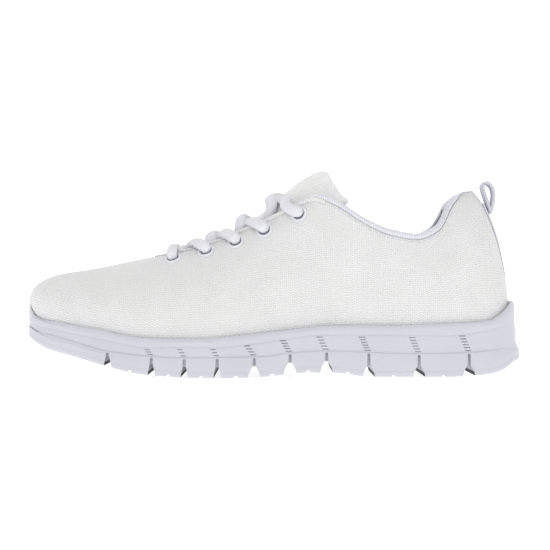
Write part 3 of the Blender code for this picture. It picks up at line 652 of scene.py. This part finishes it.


# Cloths: name, dark colour (painted shade between the threads) and light colour, pitch and chevron in
# metres, slope, relief.
MESH = woven_material("upper_mesh", (0.68, 0.68, 0.675), (0.94, 0.94, 0.938), 0.0013, 0.0014, 0.5, 0.6)
# The tongue's mesh is the upper's mesh made brighter: painted light, where the tongue lies in the key
# light's shade.
TONGUE_MESH_PAINTED_LIGHT = woven_material(
    "tongue_mesh_painted_light", (0.80, 0.80, 0.795), (0.985, 0.985, 0.98), 0.0013, 0.0014, 0.5, 0.5)
KNIT = woven_material("lining_knit", (0.72, 0.72, 0.79), (0.90, 0.90, 0.96), 0.0009, 0.0008, 0.6, 0.6)
LACE = woven_material("lace_braid", (0.76, 0.76, 0.83), (0.95, 0.95, 0.99), 0.0010, 0.0011, 1.0, 0.7)
WEBBING = woven_material("tab_webbing", (0.62, 0.62, 0.70), (0.84, 0.84, 0.91), 0.0008, 0.0016, 0.4, 0.6)
COLLAR_KNIT = ribbed_material("collar_knit", (0.68, 0.68, 0.75), (0.90, 0.90, 0.96), 0.0014, 0.6)
THREAD = woven_material("sewing_thread", (0.62, 0.62, 0.70), (0.84, 0.84, 0.88), 0.0004, 0.0004, 1.0, 0.5)
# Moulded parts: name, dark and light colour, roughness, grain scale, relief.
FOAM = moulded_material("midsole_foam", (0.60, 0.60, 0.66), (0.66, 0.66, 0.72), 0.5, 900, 0.25)
RUBBER = moulded_material("outsole_rubber", (0.595, 0.595, 0.655), (0.655, 0.655, 0.715), 0.6, 500, 0.4)
# Near black for the lowest walls of the grooves: painted shade deep in them.
GROOVE_PAINTED_SHADE = moulded_material("groove_painted_shade", (0.02, 0.02, 0.022), (0.05, 0.05, 0.055), 0.7, 500, 0.3)
PLASTIC = moulded_material("eyelet_plastic", (0.76, 0.76, 0.82), (0.84, 0.84, 0.89), 0.35, 700, 0.1)
# Dark finish for the discs in the eyelets' middles: painted shade of their holes.
SHADOW = moulded_material("eyelet_hole_painted_shade", (0.20, 0.20, 0.23), (0.28, 0.28, 0.32), 0.8, 500, 0.2)
BOARD = moulded_material("fibre_board", (0.55, 0.53, 0.47), (0.72, 0.70, 0.64), 0.8, 400, 0.6)
PADDING = moulded_material("padding_foam", (0.66, 0.66, 0.65), (0.78, 0.78, 0.77), 0.9, 600, 0.8)


# ---- upper
def bend_with_toe(piece, rear, front, level):
    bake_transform(piece)


def make_upper():
    """The outer mesh is one continuous skin from toe to heel."""
    upper = shell_piece("upper_mesh_skin", all_round(150), even_steps(0, 1, 34),
                        lambda t, s: 0.0, lambda t, s: OUTER_THICKNESS, MESH)
    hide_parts("quarter_lateral", "quarter_medial", "vamp", "vamp_flex_panel")
    bend_with_toe(upper, *UPPER_ZONE)


def lining_top(t):
    if t < RIDGE_END:
        return 1.0
    share = smooth_step(COLLAR_START, ROLL_FULL, t)
    return LINING_TOP_LOW + (LINING_TOP_HIGH - LINING_TOP_LOW) * share


def make_lining():
    """Knit lining: to the ridge over the toes, under the eyestays, up to the collar's edge."""
    columns, shares = all_round(110), even_steps(0, 1, 30)
    cloth_height = 0.09
    uvs = [[(side * t * OUTLINE_LENGTH * MM, cloth_height * share) for side, t in columns]
           for share in shares]

    def sheet(extra):
        rows = []
        for share in shares:
            places = [(side, t, lining_top(t) * share) for side, t in columns]
            rows.append([upper_point(side, t, s, lining_depth(t, s) + extra) for side, t, s in places])
        return rows

    lining = layer_mesh("lining_skin", KNIT, uvs, sheet(0), sheet(LINING_THICKNESS))
    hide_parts("lining_lateral", "lining_medial", "vamp_lining")
    bend_with_toe(lining, *UPPER_ZONE)


def swept_band(name, columns, section, material):
    """Body with a closed section of (depth, rise) points, swept along the upper's top edge."""
    bm = bmesh.new()
    rings, stations, travelled = [], [], 0.0
    last = upper_surface(*columns[0], 1.0)
    for side, t in columns:
        edge = upper_surface(side, t, 1.0)
        rise = (edge - upper_surface(side, t, 0.97)).normalized()
        inward = -upper_normal(side, t, 1.0)
        rings.append([bm.verts.new(edge + inward * d + rise * h) for d, h in section(t)])
        travelled += (edge - last).length
        last = edge
        stations.append(travelled * MM)
    join_rings(bm, rings, lambda a, b: (stations[a], b * 0.0012))
    return finish_mesh(name, bm, material)


def round_heel(start, count):
    half = even_steps(start, 1, count)
    return [(LATERAL, t) for t in half] + [(MEDIAL, t) for t in reversed(half[:-1])]


def collar_section(t):
    """Puffy knit roll over the collar's edge, thinner where the collar meets the eyestay."""
    grow = 0.4 + 0.6 * smooth_step(COLLAR_START, ROLL_FULL, t)
    inner = lining_depth(t, 1.0) + LINING_THICKNESS
    outer = -0.1
    centre, half_width = (inner + outer) / 2, (inner - outer) / 2 + 0.15
    half_height = ROLL_HALF_HEIGHT * grow * (1 - 0.75 * smooth_step(0.84, 0.93, t))
    points = []
    for angle in full_turn(18):
        d = centre - half_width * cos(angle)
        h = half_height * (0.7 + sin(angle))
        points.append((d, max(h, -0.5)))
    return points


def make_collar():
    collar = swept_band("collar_roll", round_heel(ROLL_START, 110), collar_section, COLLAR_KNIT)
    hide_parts("collar_binding")
    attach(collar, "rearfoot")


# ---- stitching and piping
def make_throat_binding():
    """Narrow folded binding over the edge of each eyestay."""
    for side in SIDES:
        columns = [(side, t) for t in even_steps(BINDING_START, BINDING_END, 90)]
        band = swept_band(f"throat_binding_{SIDE_NAMES[side]}", columns, lambda t: BINDING_FOLD, MESH)
        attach(band, "rearfoot")


def stitch_row(bm, path, normals):
    """Stitches: short rounded bars laid along a path, each pressed half into the cloth."""
    position = 0.0
    for a, b, normal in zip(path, path[1:], normals):
        position += (b - a).length
        if position < STITCH_LENGTH + STITCH_GAP:
            continue
        position = 0.0
        along = (b - a).normalized()
        side = along.cross(normal).normalized()
        rings = []
        for share in even_steps(-1, 1, 4):
            size = STITCH_RADIUS * sqrt(max(1 - (share * 0.92) ** 2, 0.02))
            middle = (a + b) / 2 + along * (share * STITCH_LENGTH / 2)
            rings.append([bm.verts.new(middle + (side * cos(m) + normal * sin(m)) * size)
                          for m in full_turn(6)])
        join_rings(bm, rings)


def share_below_edge(side, t, distance, step):
    """The share s that lies a distance below the top edge."""
    top = upper_surface(side, t, 1.0)
    s = 1.0
    while (upper_surface(side, t, s) - top).length < distance:
        s -= step
    return s


def edge_path(side, start, end, below, count):
    """Points a distance below the top edge from t = start to end, with their normals."""
    path, normals = [], []
    for t in even_steps(start, end, count):
        s = share_below_edge(side, t, below, 0.002)
        normals.append(upper_normal(side, t, s))
        path.append(upper_surface(side, t, s) + normals[-1] * STITCH_LIFT)
    return path, normals


def make_stitching():
    bm = bmesh.new()
    for side in SIDES:
        for start, end, below in STITCH_ROWS:
            stitch_row(bm, *edge_path(side, start, end, below, 500))
    stitches = finish_mesh("edge_stitching", bm, THREAD, weld=0.0001)
    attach(stitches, "rearfoot")


# ---- tongue
def tongue_roundness(v, u):
    """How far the tongue's faces close towards its seam, at its sides and at its tip."""
    return max(abs(v) ** 8, 0.7 * smooth_step(0.96, 1.0, u))


def make_tongue():
    """Padded tongue: a mesh face and a knit back that meet in a rounded edge."""
    pieces = {
        # The face takes the brighter tongue mesh: painted light.
        "tongue_face": (0.0, TONGUE_SEAM - SEAM_GAP, TONGUE_MESH_PAINTED_LIGHT, "mesh_white", ("tongue_outer",)),
        "tongue_back": (TONGUE_SEAM + SEAM_GAP, TONGUE_THICKNESS, KNIT, "lining_lavender",
                        ("tongue_lining", "tongue_foam")),
    }
    across, along = even_steps(-1, 1, 36), even_steps(TONGUE_ROOT, 1, 70)
    cloth_half_width, cloth_length = 0.017, 0.11
    uvs = [[(v * cloth_half_width, u * cloth_length) for v in across] for u in along]

    def depth_at(depth, v, u):
        return TONGUE_SEAM + (depth - TONGUE_SEAM) * (1 - 0.75 * tongue_roundness(v, u))

    for name, (top, low, material, slot, nodes) in pieces.items():
        outer, inner = ([[tongue_point(v, u, depth_at(depth, v, u)) for v in across]
                         for u in along] for depth in (top, low))
        piece = layer_mesh(name, material, uvs, outer, inner)
        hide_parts(*nodes)
        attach(piece, "tongue")


def make_gusset():
    """Mesh sheet that joins the tongue's root to the vamp, under the front of the throat."""
    across, along = 20, 30
    uvs = [[(i * 0.0012, k * 0.0012) for i in range(across + 1)] for k in range(along + 1)]

    def sheet(extra):
        rows = []
        for share in even_steps(0, 1, along):
            fall = (TONGUE_THICKNESS + 2.0) * smooth_step(*GUSSET_DROP, share)
            rows.append([tongue_point(v, GUSSET_END * share, GUSSET_DEPTH + fall + extra)
                         for v in even_steps(-1, 1, across)])
        return rows

    # The sheet takes the brighter tongue mesh: painted light.
    gusset = layer_mesh("tongue_gusset", TONGUE_MESH_PAINTED_LIGHT, uvs, sheet(0), sheet(GUSSET_THICKNESS))
    bend_with_toe(gusset, *GUSSET_ZONE)


# ---- eyelets and lace
def eyelet_place(side, t):
    """Middle of the eyelet on the upper's face, and the direction out of it."""
    s = share_below_edge(side, t, height(EYELET_BELOW_EDGE, t), 0.005)
    return upper_surface(side, t, s), upper_normal(side, t, s)


def turned(profile, centre, axis, steps):
    """Body of a closed profile of (radius, height) points, turned about an axis."""
    bm = bmesh.new()
    turn = axis.to_track_quat("Z", "Y").to_matrix()
    rings = []
    for angle in full_turn(steps):
        spoke = [Vector((r * cos(angle), r * sin(angle), h)) for r, h in profile]
        rings.append([bm.verts.new(centre + turn @ point) for point in spoke])
    join_rings(bm, rings, closed=True)
    return bm


def make_eyelets():
    """Rounded plastic rings, each with a dark disc in its middle: painted shade of its barrel's hole."""
    crown = [(CROWN_RADIUS + CROWN_HALF_WIDTH * cos(a), CROWN_BASE + CROWN_RISE * sin(a))
             for a in even_steps(0, pi, 8)]
    profile = crown + [(EYELET_INNER, 0.2), (EYELET_INNER, -0.3), (EYELET_OUTER, -0.3)]
    # A flat disc across the ring's middle, painted dark as the shade of the barrel's hole.
    mouth = [(0.02, 0.1), (0.02, -0.4), (EYELET_INNER + 0.15, -0.4), (EYELET_INNER + 0.15, 0.1)]
    for side in SIDES:
        for number, t in enumerate(EYELET_T):
            centre, normal = eyelet_place(side, t)
            label = f"{SIDE_NAMES[side]}_{number + 1}"
            ring = finish_mesh(f"eyelet_ring_{label}", turned(profile, centre, normal, 32), PLASTIC)
            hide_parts(f"eyelet_{label}")
            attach(ring, "rearfoot")
            hole = finish_mesh(f"eyelet_hole_shade_{label}", turned(mouth, centre, normal, 24), SHADOW,
                               weld=0.0001)
            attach(hole, "rearfoot")


def tongue_share(x):
    """The share of the tongue's middle line at which it passes x."""
    return min((abs(read_curve(TONGUE, u)[0] - x), u) for u in even_steps(0, 1, 200))[1]


def over_tongue(x, y, clearance):
    """A place above the tongue's face."""
    u = tongue_share(x)
    tilt = y / HUMP_HALF_WIDTH * SIDE_TILT
    away = Vector((-0.45, tilt, 0.9)).normalized()
    return tongue_point(y / read_curve(TONGUE, u)[2], u, 0) + away * clearance


def lace_hole(side, index):
    """Places and widths of the lace on its way in through an eyelet."""
    centre, normal = eyelet_place(side, EYELET_T[index])
    return [(centre + normal * LACE_OVER_EYELET, OVER_WIDTH), (centre, INSIDE_WIDTH),
            (centre - normal * (LACE_BELOW + 0.2), INSIDE_WIDTH)]


def by_throat(side, t, above, inward):
    place = upper_surface(side, t, 1.0) + upper_normal(side, t, 1.0) * above
    return place - Vector((0, side * inward, 0))


def lace_crossing(side, index, over):
    """From under one eyestay, across the tongue, to the next eyelet of the other side."""
    leave = by_throat(side, EYELET_T[index] - LEAVE_LEAD, -LACE_BELOW, LEAVE_INWARD)
    arrive = by_throat(-side, EYELET_T[index + 1] - ARRIVE_LEAD, LACE_ABOVE, ARRIVE_INWARD)
    middle_x = leave.x * (1 - MIDDLE_SHARE) + arrive.x * MIDDLE_SHARE
    stack = LACE_STACK if over else 0
    return [
        (leave, LEAVING_WIDTH),
        (over_tongue((leave.x + middle_x) / 2, side * SHOULDER, LACE_LIFT + stack / 2), 1.0),
        (over_tongue(middle_x, 0, LACE_LIFT + stack), 1.0),
        (over_tongue((arrive.x + middle_x) / 2, -side * SHOULDER, LACE_LIFT + stack / 2), 1.0),
        (arrive, 1.0),
    ]


def lace_half(side):
    """Route from the middle of the first bar to the tucked end that starts on this side."""
    edge = by_throat(side, EYELET_T[0], LACE_ABOVE, ARRIVE_INWARD)
    route = [(over_tongue(edge.x, 0, LACE_LIFT), 1.0), (edge, 1.0)] + lace_hole(side, 0)
    current = side
    for index in range(len(EYELET_T) - 1):
        route += lace_crossing(current, index, over=(side == LATERAL) == (index % 2 == 0))
        current = -current
        route += lace_hole(current, index + 1)
    depth = LINING_DEPTH + LINING_THICKNESS + LACE_THICKNESS / 2 + 0.8
    return route + [(upper_point(current, EYELET_T[-1], s, depth), TUCKED_WIDTH) for s in LACE_TAIL]


def make_lace():
    """One oval braided lace, swept along its laced route with its flat side on the tongue."""
    start, end = lace_half(LATERAL), lace_half(MEDIAL)
    route = list(reversed(start)) + end[1:]
    per_span, sides = 7, 16
    path = smooth_path([place for place, _ in route], per_span)
    widths = smooth_path([Vector((width, 0)) for _, width in route], per_span)
    throat = Vector((0.87, 0, 0.5))
    bm = bmesh.new()
    rings, stations, travelled = [], [], 0.0
    across = throat
    for k, place in enumerate(path):
        before, after = path[max(k - 1, 0)], path[min(k + 1, len(path) - 1)]
        tangent = (after - before).normalized()
        across = (across + throat) * 0.5
        across = (across - tangent * across.dot(tangent)).normalized()
        lift = tangent.cross(across)
        width = LACE_WIDTH / 2 * widths[k].x
        thick = LACE_THICKNESS / 2 * (0.35 + 0.65 * widths[k].x)
        rings.append([bm.verts.new(place + across * cos(angle) * width
                                   + lift * sin(angle) * thick) for angle in full_turn(sides)])
        travelled += (place - before).length
        stations.append(travelled * MM)
    join_rings(bm, rings, lambda a, b: (b * 0.0011, stations[a]))
    lace = finish_mesh("lace_braided", bm, LACE, weld=0.0001)
    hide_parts("lace")
    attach(lace, "rearfoot")


# ---- sole
def rim(extra):
    return lambda t: rim_inset(t) + extra


def heel_share(t):
    return smooth_step(0.86, 1, t)


def side_wall(extra, heel=0.0):
    """The lugs stand a little outside the rim, and swell out most behind the heel."""
    return lambda t: rim_inset(t) * 0.5 * (1 - heel_share(t)) + extra + heel * heel_share(t)


def crease_share(t):
    """The creases fade out round the toe and the heel."""
    return smooth_step(0.03, 0.13, t) * (1 - smooth_step(0.86, 0.95, t))


def panel(extra, crease=0.0, heel=0.0):
    """The panel under the rim, a little behind it, with a crease along its edges."""
    return lambda t: (rim_inset(t) * 0.9 + extra + (0.5 + crease) * crease_share(t)
                      + heel * heel_share(t))


def lip(share):
    return lambda t: rim_inset(t) + height(LIP_WIDTH, t) * share


def midsole_levels():
    """Rings from the cup floor over the rounded rim, past two creases, to the lugs' lower ends."""
    return [
        (rim(RIM_THICKNESS), CUP_FLOOR, 0),
        (lip(1.0), RIM_TOP, -1.6),
        (lip(0.8), RIM_TOP, -0.6),
        (lip(0.55), RIM_TOP, -0.1),
        (lip(0.3), RIM_TOP, -0.15),
        (lip(0.12), RIM_TOP, -0.8),
        (rim(0), RIM_TOP, -1.9),
        (rim(-0.15), BAND_LINE, 3.0),
        (rim(-0.1), BAND_LINE, 1.7),
        (panel(0, -0.4), BAND_LINE, 0.7),
        (panel(0, 0.25), BAND_LINE, 0.15),
        (panel(0, 0.05), BAND_LINE, -0.4),
        (panel(0.05), BAND_LINE, -1.5),
        (panel(0, 0, -0.7), LUG_LINE, 1.6),
        (panel(0, 0, -0.9), LUG_LINE, 0.5),
        (panel(0, 0.15, -1.0), LUG_LINE, 0.2),
        (side_wall(0.35, 1.1), LUG_LINE, -0.3),
        (side_wall(0.1, 0.7), LUG_LINE, -1.6),
        (side_wall(-0.1, 0.1), BOTTOM, PAD_THICKNESS + 3.4),
        (side_wall(-0.05), BOTTOM, PAD_THICKNESS + 1.6),
        (side_wall(-0.05), BOTTOM, PAD_THICKNESS + 0.5),
        (side_wall(-0.02), BOTTOM, PAD_THICKNESS + 0.01),
    ]


def mouth_outline(x):
    """The flared end of a groove, narrow in the front half and wide behind it."""
    mouth = NARROW_MOUTH if x <= LAST_NARROW_GROOVE else WIDE_MOUTH
    low = height(BOTTOM, x)
    shoulder = low + MOUTH_HEIGHT
    return [
        (x + SLOT_HALF_WIDTH, shoulder), (x + mouth * 0.7, low + 2.8), (x + mouth, low - 2),
        (x - mouth, low - 2), (x - mouth * 0.7, low + 2.8), (x - SLOT_HALF_WIDTH, shoulder),
    ]


def slot_outline(x):
    """The slot above a groove's mouth, pointed at its top."""
    top = height(LUG_LINE, x) - 0.5
    low = height(BOTTOM, x) + MOUTH_HEIGHT - 1.2
    half = SLOT_HALF_WIDTH
    return [(x - half, low), (x - half * 0.8, top - 0.5), (x, top),
            (x + half * 0.8, top - 0.5), (x + half, low)]


def sole_core():
    """Foam left uncut in the middle of the sole, so the slots are only cuts in its sides."""
    levels = [
        (side_wall(SLOT_DEPTH), LUG_LINE, 6), (side_wall(SLOT_DEPTH), LUG_LINE, -3),
        (side_wall(SLOT_DEPTH + 0.6), BOTTOM, MOUTH_HEIGHT - 0.8),
    ]
    return sole_loft(levels, 60)


def side_t(x):
    """The share of the outline's length at which the sole's side passes x."""
    return min((abs(read_curve(OUTLINE_CURVE, t)[0] - x), t) for t in even_steps(0, 1, 800))[1]


def rib_slits():
    """Short cuts in slanted rows, on the panel above each groove but the first."""
    bm = bmesh.new()
    for x in GROOVE_X[1:]:
        length, slant = NARROW_SLIT if x <= LAST_NARROW_GROOVE else WIDE_SLIT
        low, high = height(LUG_LINE, x) + 1.1, height(BAND_LINE, x) - 0.9
        count = round((high - low) / SLIT_SPACING)
        t = side_t(x)
        for side in SIDES:
            surface = sole_point(side, t, panel(0)(t), BOTTOM)
            for share in even_steps(0, 1, count):
                centre = Vector((x - 0.6 - slant * share, surface.y, low + (high - low) * share))
                box = bmesh.ops.create_cube(bm, size=1.0)
                for vert in box["verts"]:
                    vert.co = vert.co * Vector((length, SLIT_DEPTH, SLIT_HEIGHT)) + centre
    return bm


def paint_groove_shade(obj, grooves):
    """The lowest part of the grooves' walls is painted near black, as painted shade deep in the grooves.
    """
    obj.data.materials.append(GROOVE_PAINTED_SHADE)
    bm = bmesh.new()
    bm.from_mesh(obj.data)
    for x in grooves:
        top = height(BOTTOM, x) + GROOVE_SHADE_HEIGHT
        walls = groove_walls(bm, x)
        parts = walls + list({edge for face in walls for edge in face.edges})
        parts += list({vert for face in walls for vert in face.verts})
        bmesh.ops.bisect_plane(bm, geom=parts, plane_co=(0, 0, top * MM), plane_no=(0, 0, 1))
        for face in groove_walls(bm, x):
            if face.calc_center_median().z / MM < top:
                face.material_index = 1
    bm.to_mesh(obj.data)
    bm.free()


def groove_walls(bm, x):
    """Faces across the shoe that line the mouth of the groove at x."""
    return [face for face in bm.faces if abs(face.normal.x) > 0.5
            and abs(face.calc_center_median().x / MM - x) < WIDE_MOUTH + 0.5]


def make_midsole():
    midsole = finish_mesh("midsole_carved", sole_loft(midsole_levels(), 150), FOAM)
    for x in GROOVE_X:
        cut(midsole, prism(mouth_outline(x)))
        slot = finish_mesh("slot", prism(slot_outline(x)), FOAM, smooth=False)
        cut(slot, sole_core())
        cut(midsole, slot)
    cut(midsole, rib_slits())
    shade_by_angle(midsole, 38)
    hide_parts("midsole_rear", "midsole_forefoot")
    bend_with_toe(midsole, *SOLE_ZONE)


def make_pads():
    """Rubber pads, each with a small notch in the middle of its lower edge."""
    levels = [
        (side_wall(0), BOTTOM, PAD_THICKNESS - 0.01),
        (side_wall(-0.06), BOTTOM, PAD_THICKNESS - 0.5),
        (side_wall(-0.08), BOTTOM, PAD_THICKNESS - 1.2),
        (side_wall(0.1, 0.2), BOTTOM, 1.0),
        (side_wall(0.8, 0.6), BOTTOM, 0.25),
        (side_wall(1.8, 1.2), BOTTOM, 0),
    ]
    edges = [-FAR] + GROOVE_X + [FAR]
    for index, (start, end) in enumerate(zip(edges, edges[1:])):
        pad = finish_mesh(f"tread_pad_{index + 1:02d}", sole_loft(levels, 150), RUBBER)
        cut(pad, prism([(start, BELOW), (end, BELOW), (end, ABOVE), (start, ABOVE)]), "INTERSECT")
        grooves = [x for x in (start, end) if x in GROOVE_X]
        for x in grooves:
            cut(pad, prism(mouth_outline(x)))
        if 0 < index < len(edges) - 2:
            middle = (start + end) / 2
            low = height(BOTTOM, middle)
            cut(pad, prism([
                (middle - NOTCH_FOOT, low - 1), (middle - NOTCH_TOP, low + NOTCH_HEIGHT),
                (middle + NOTCH_TOP, low + NOTCH_HEIGHT), (middle + NOTCH_FOOT, low - 1)]))
        shade_by_angle(pad, 35)
        # The lowest walls of the grooves get the near black finish: painted shade.
        paint_groove_shade(pad, grooves)
        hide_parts(f"outsole_pad_{index + 1:02d}")
        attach(pad, "forefoot" if index < 2 else "rearfoot")


def make_insole():
    def inset(extra):
        return lambda t: cup_inset(t) + LINING_DEPTH + LINING_THICKNESS + GAP + extra

    levels = [
        (inset(0.2), CUP_FLOOR, 1.9), (inset(0), CUP_FLOOR, 3.2), (inset(0.05), CUP_FLOOR, 4.6),
        (inset(0.5), CUP_FLOOR, 5.3), (inset(1.4), CUP_FLOOR, 5.6),
    ]
    insole = finish_mesh("insole_sheet", sole_loft(levels, 110), KNIT)
    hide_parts("insole_rear", "insole_forefoot")
    bend_with_toe(insole, *SOLE_ZONE)


# ---- heel
def make_back_strip():
    """Strip of webbing up the heel's middle; it stands out more towards its top."""
    strip = shell_piece("heel_strip", round_heel(1 - STRIP_HALF_WIDTH, 8),
                        even_steps(STRIP_LOW, STRIP_HIGH, 30),
                        lambda t, s: -0.25 - 0.9 * smooth_step(STRIP_LOW, STRIP_FULL, s),
                        lambda t, s: -0.15, WEBBING)
    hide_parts("back_strip")
    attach(strip, "rearfoot")


def make_pull_tab():
    """Loop of webbing: a strap of even thickness along a smooth closed path."""
    per_span, sides = 6, 12
    corners = [Vector((x, 0, z)) for x, z in TAB_LOOP]
    path = smooth_path([corners[-1]] + corners + corners[:2], per_span)
    path = path[per_span:per_span * (len(corners) + 1)]
    bm = bmesh.new()
    rings = []
    for k, place in enumerate(path):
        tangent = (path[(k + 1) % len(path)] - path[k - 1]).normalized()
        inward = tangent.cross(Vector((0, 1, 0)))
        section = []
        for angle in full_turn(sides):
            y = TAB_HALF_WIDTH * signed_power(cos(angle), 0.35)
            d = TAB_HALF_THICKNESS * signed_power(sin(angle), 0.6)
            section.append(bm.verts.new(place + Vector((0, y, 0)) + inward * (d + TAB_SHIFT)))
        rings.append(section)
    join_rings(bm, rings, lambda a, b: (b * 0.002, a * 0.0008), closed=True)
    tab = finish_mesh("pull_tab_webbing", bm, WEBBING, weld=0.0001)
    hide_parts("pull_tab")
    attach(tab, "pull_tab")


# ---- carried-over CAD and studio
def dress_cad_nodes():
    finishes = {
        "toe_puff": BOARD, "heel_counter": BOARD, "eyestay_lateral": BOARD, "eyestay_medial": BOARD,
        "strobel_board_forefoot": BOARD, "strobel_board_rear": BOARD, "collar_foam": PADDING,
        "aglet_lateral": PLASTIC, "aglet_medial": PLASTIC,
    }
    for name, material in finishes.items():
        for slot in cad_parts[name].material_slots:
            slot.material = material


def make_lights():
    # Each light: name, place, size and power.
    lights = [
        ("key", (-0.5, -1.0, 1.3), 1.2, 5.2), ("fill", (0.9, -1.1, 0.6), 1.2, 2.0),
        ("back", (0.1, 0.9, 1.2), 1.0, 2.0),
    ]
    for name, place, size, power in lights:
        lamp = bpy.data.lights.new(name, "AREA")
        lamp.size = size
        lamp.energy = power
        obj = add_object(name, lamp)
        obj.location = place
        aim = Vector((0, 0, 0.05)) - Vector(place)
        obj.rotation_euler = aim.to_track_quat("-Z", "Y").to_euler()


def make_sweep():
    """Seamless pale sheet that bends up behind the shoe."""
    front, back, bend, top, half_width = -3000, 900, 500, 3000, 3000
    arc = [(back + bend * sin(a), bend - bend * cos(a)) for a in even_steps(0, pi / 2, 12)]
    profile = [(front, 0)] + arc + [(back + bend, top)]
    material, _, shader = new_material("sweep_paper", (0.5, 0.5, 0.5), 0.95)
    set_input(shader, "Emission Color", (1, 1, 1, 1))
    set_input(shader, "Emission Strength", 0.8)
    bm = bmesh.new()
    ends = [[bm.verts.new((x, y, z)) for y, z in profile] for x in (-half_width, half_width)]
    for i in range(len(profile) - 1):
        bm.faces.new([ends[0][i], ends[1][i], ends[1][i + 1], ends[0][i + 1]])
    sweep = finish_mesh("studio_sweep", bm, material)
    sweep.location.z = -0.0002


def make_studio():
    """Pale sweep, broad soft lights and a camera level with the shoe's middle."""
    make_sweep()
    make_lights()
    world = bpy.data.worlds.new("studio")
    world.use_nodes = True
    set_input(world.node_tree.nodes["Background"], "Color", (1, 1, 1, 1))
    set_input(world.node_tree.nodes["Background"], "Strength", 0.62)
    bpy.context.scene.world = world

    camera = bpy.data.cameras.new("camera")
    camera.lens = 115
    camera.sensor_width = 36
    viewer = add_object("camera", camera)
    viewer.location = (0.001, -1.0, 0.056)
    viewer.rotation_euler = (radians(90), 0, 0)
    bpy.context.scene.camera = viewer
    bpy.context.scene.view_settings.view_transform = "Standard"


make_upper()
make_lining()
make_collar()
make_throat_binding()
make_stitching()
make_tongue()
make_gusset()
make_eyelets()
make_lace()
make_midsole()
make_pads()
make_insole()
make_back_strip()
make_pull_tab()
dress_cad_nodes()
make_studio()
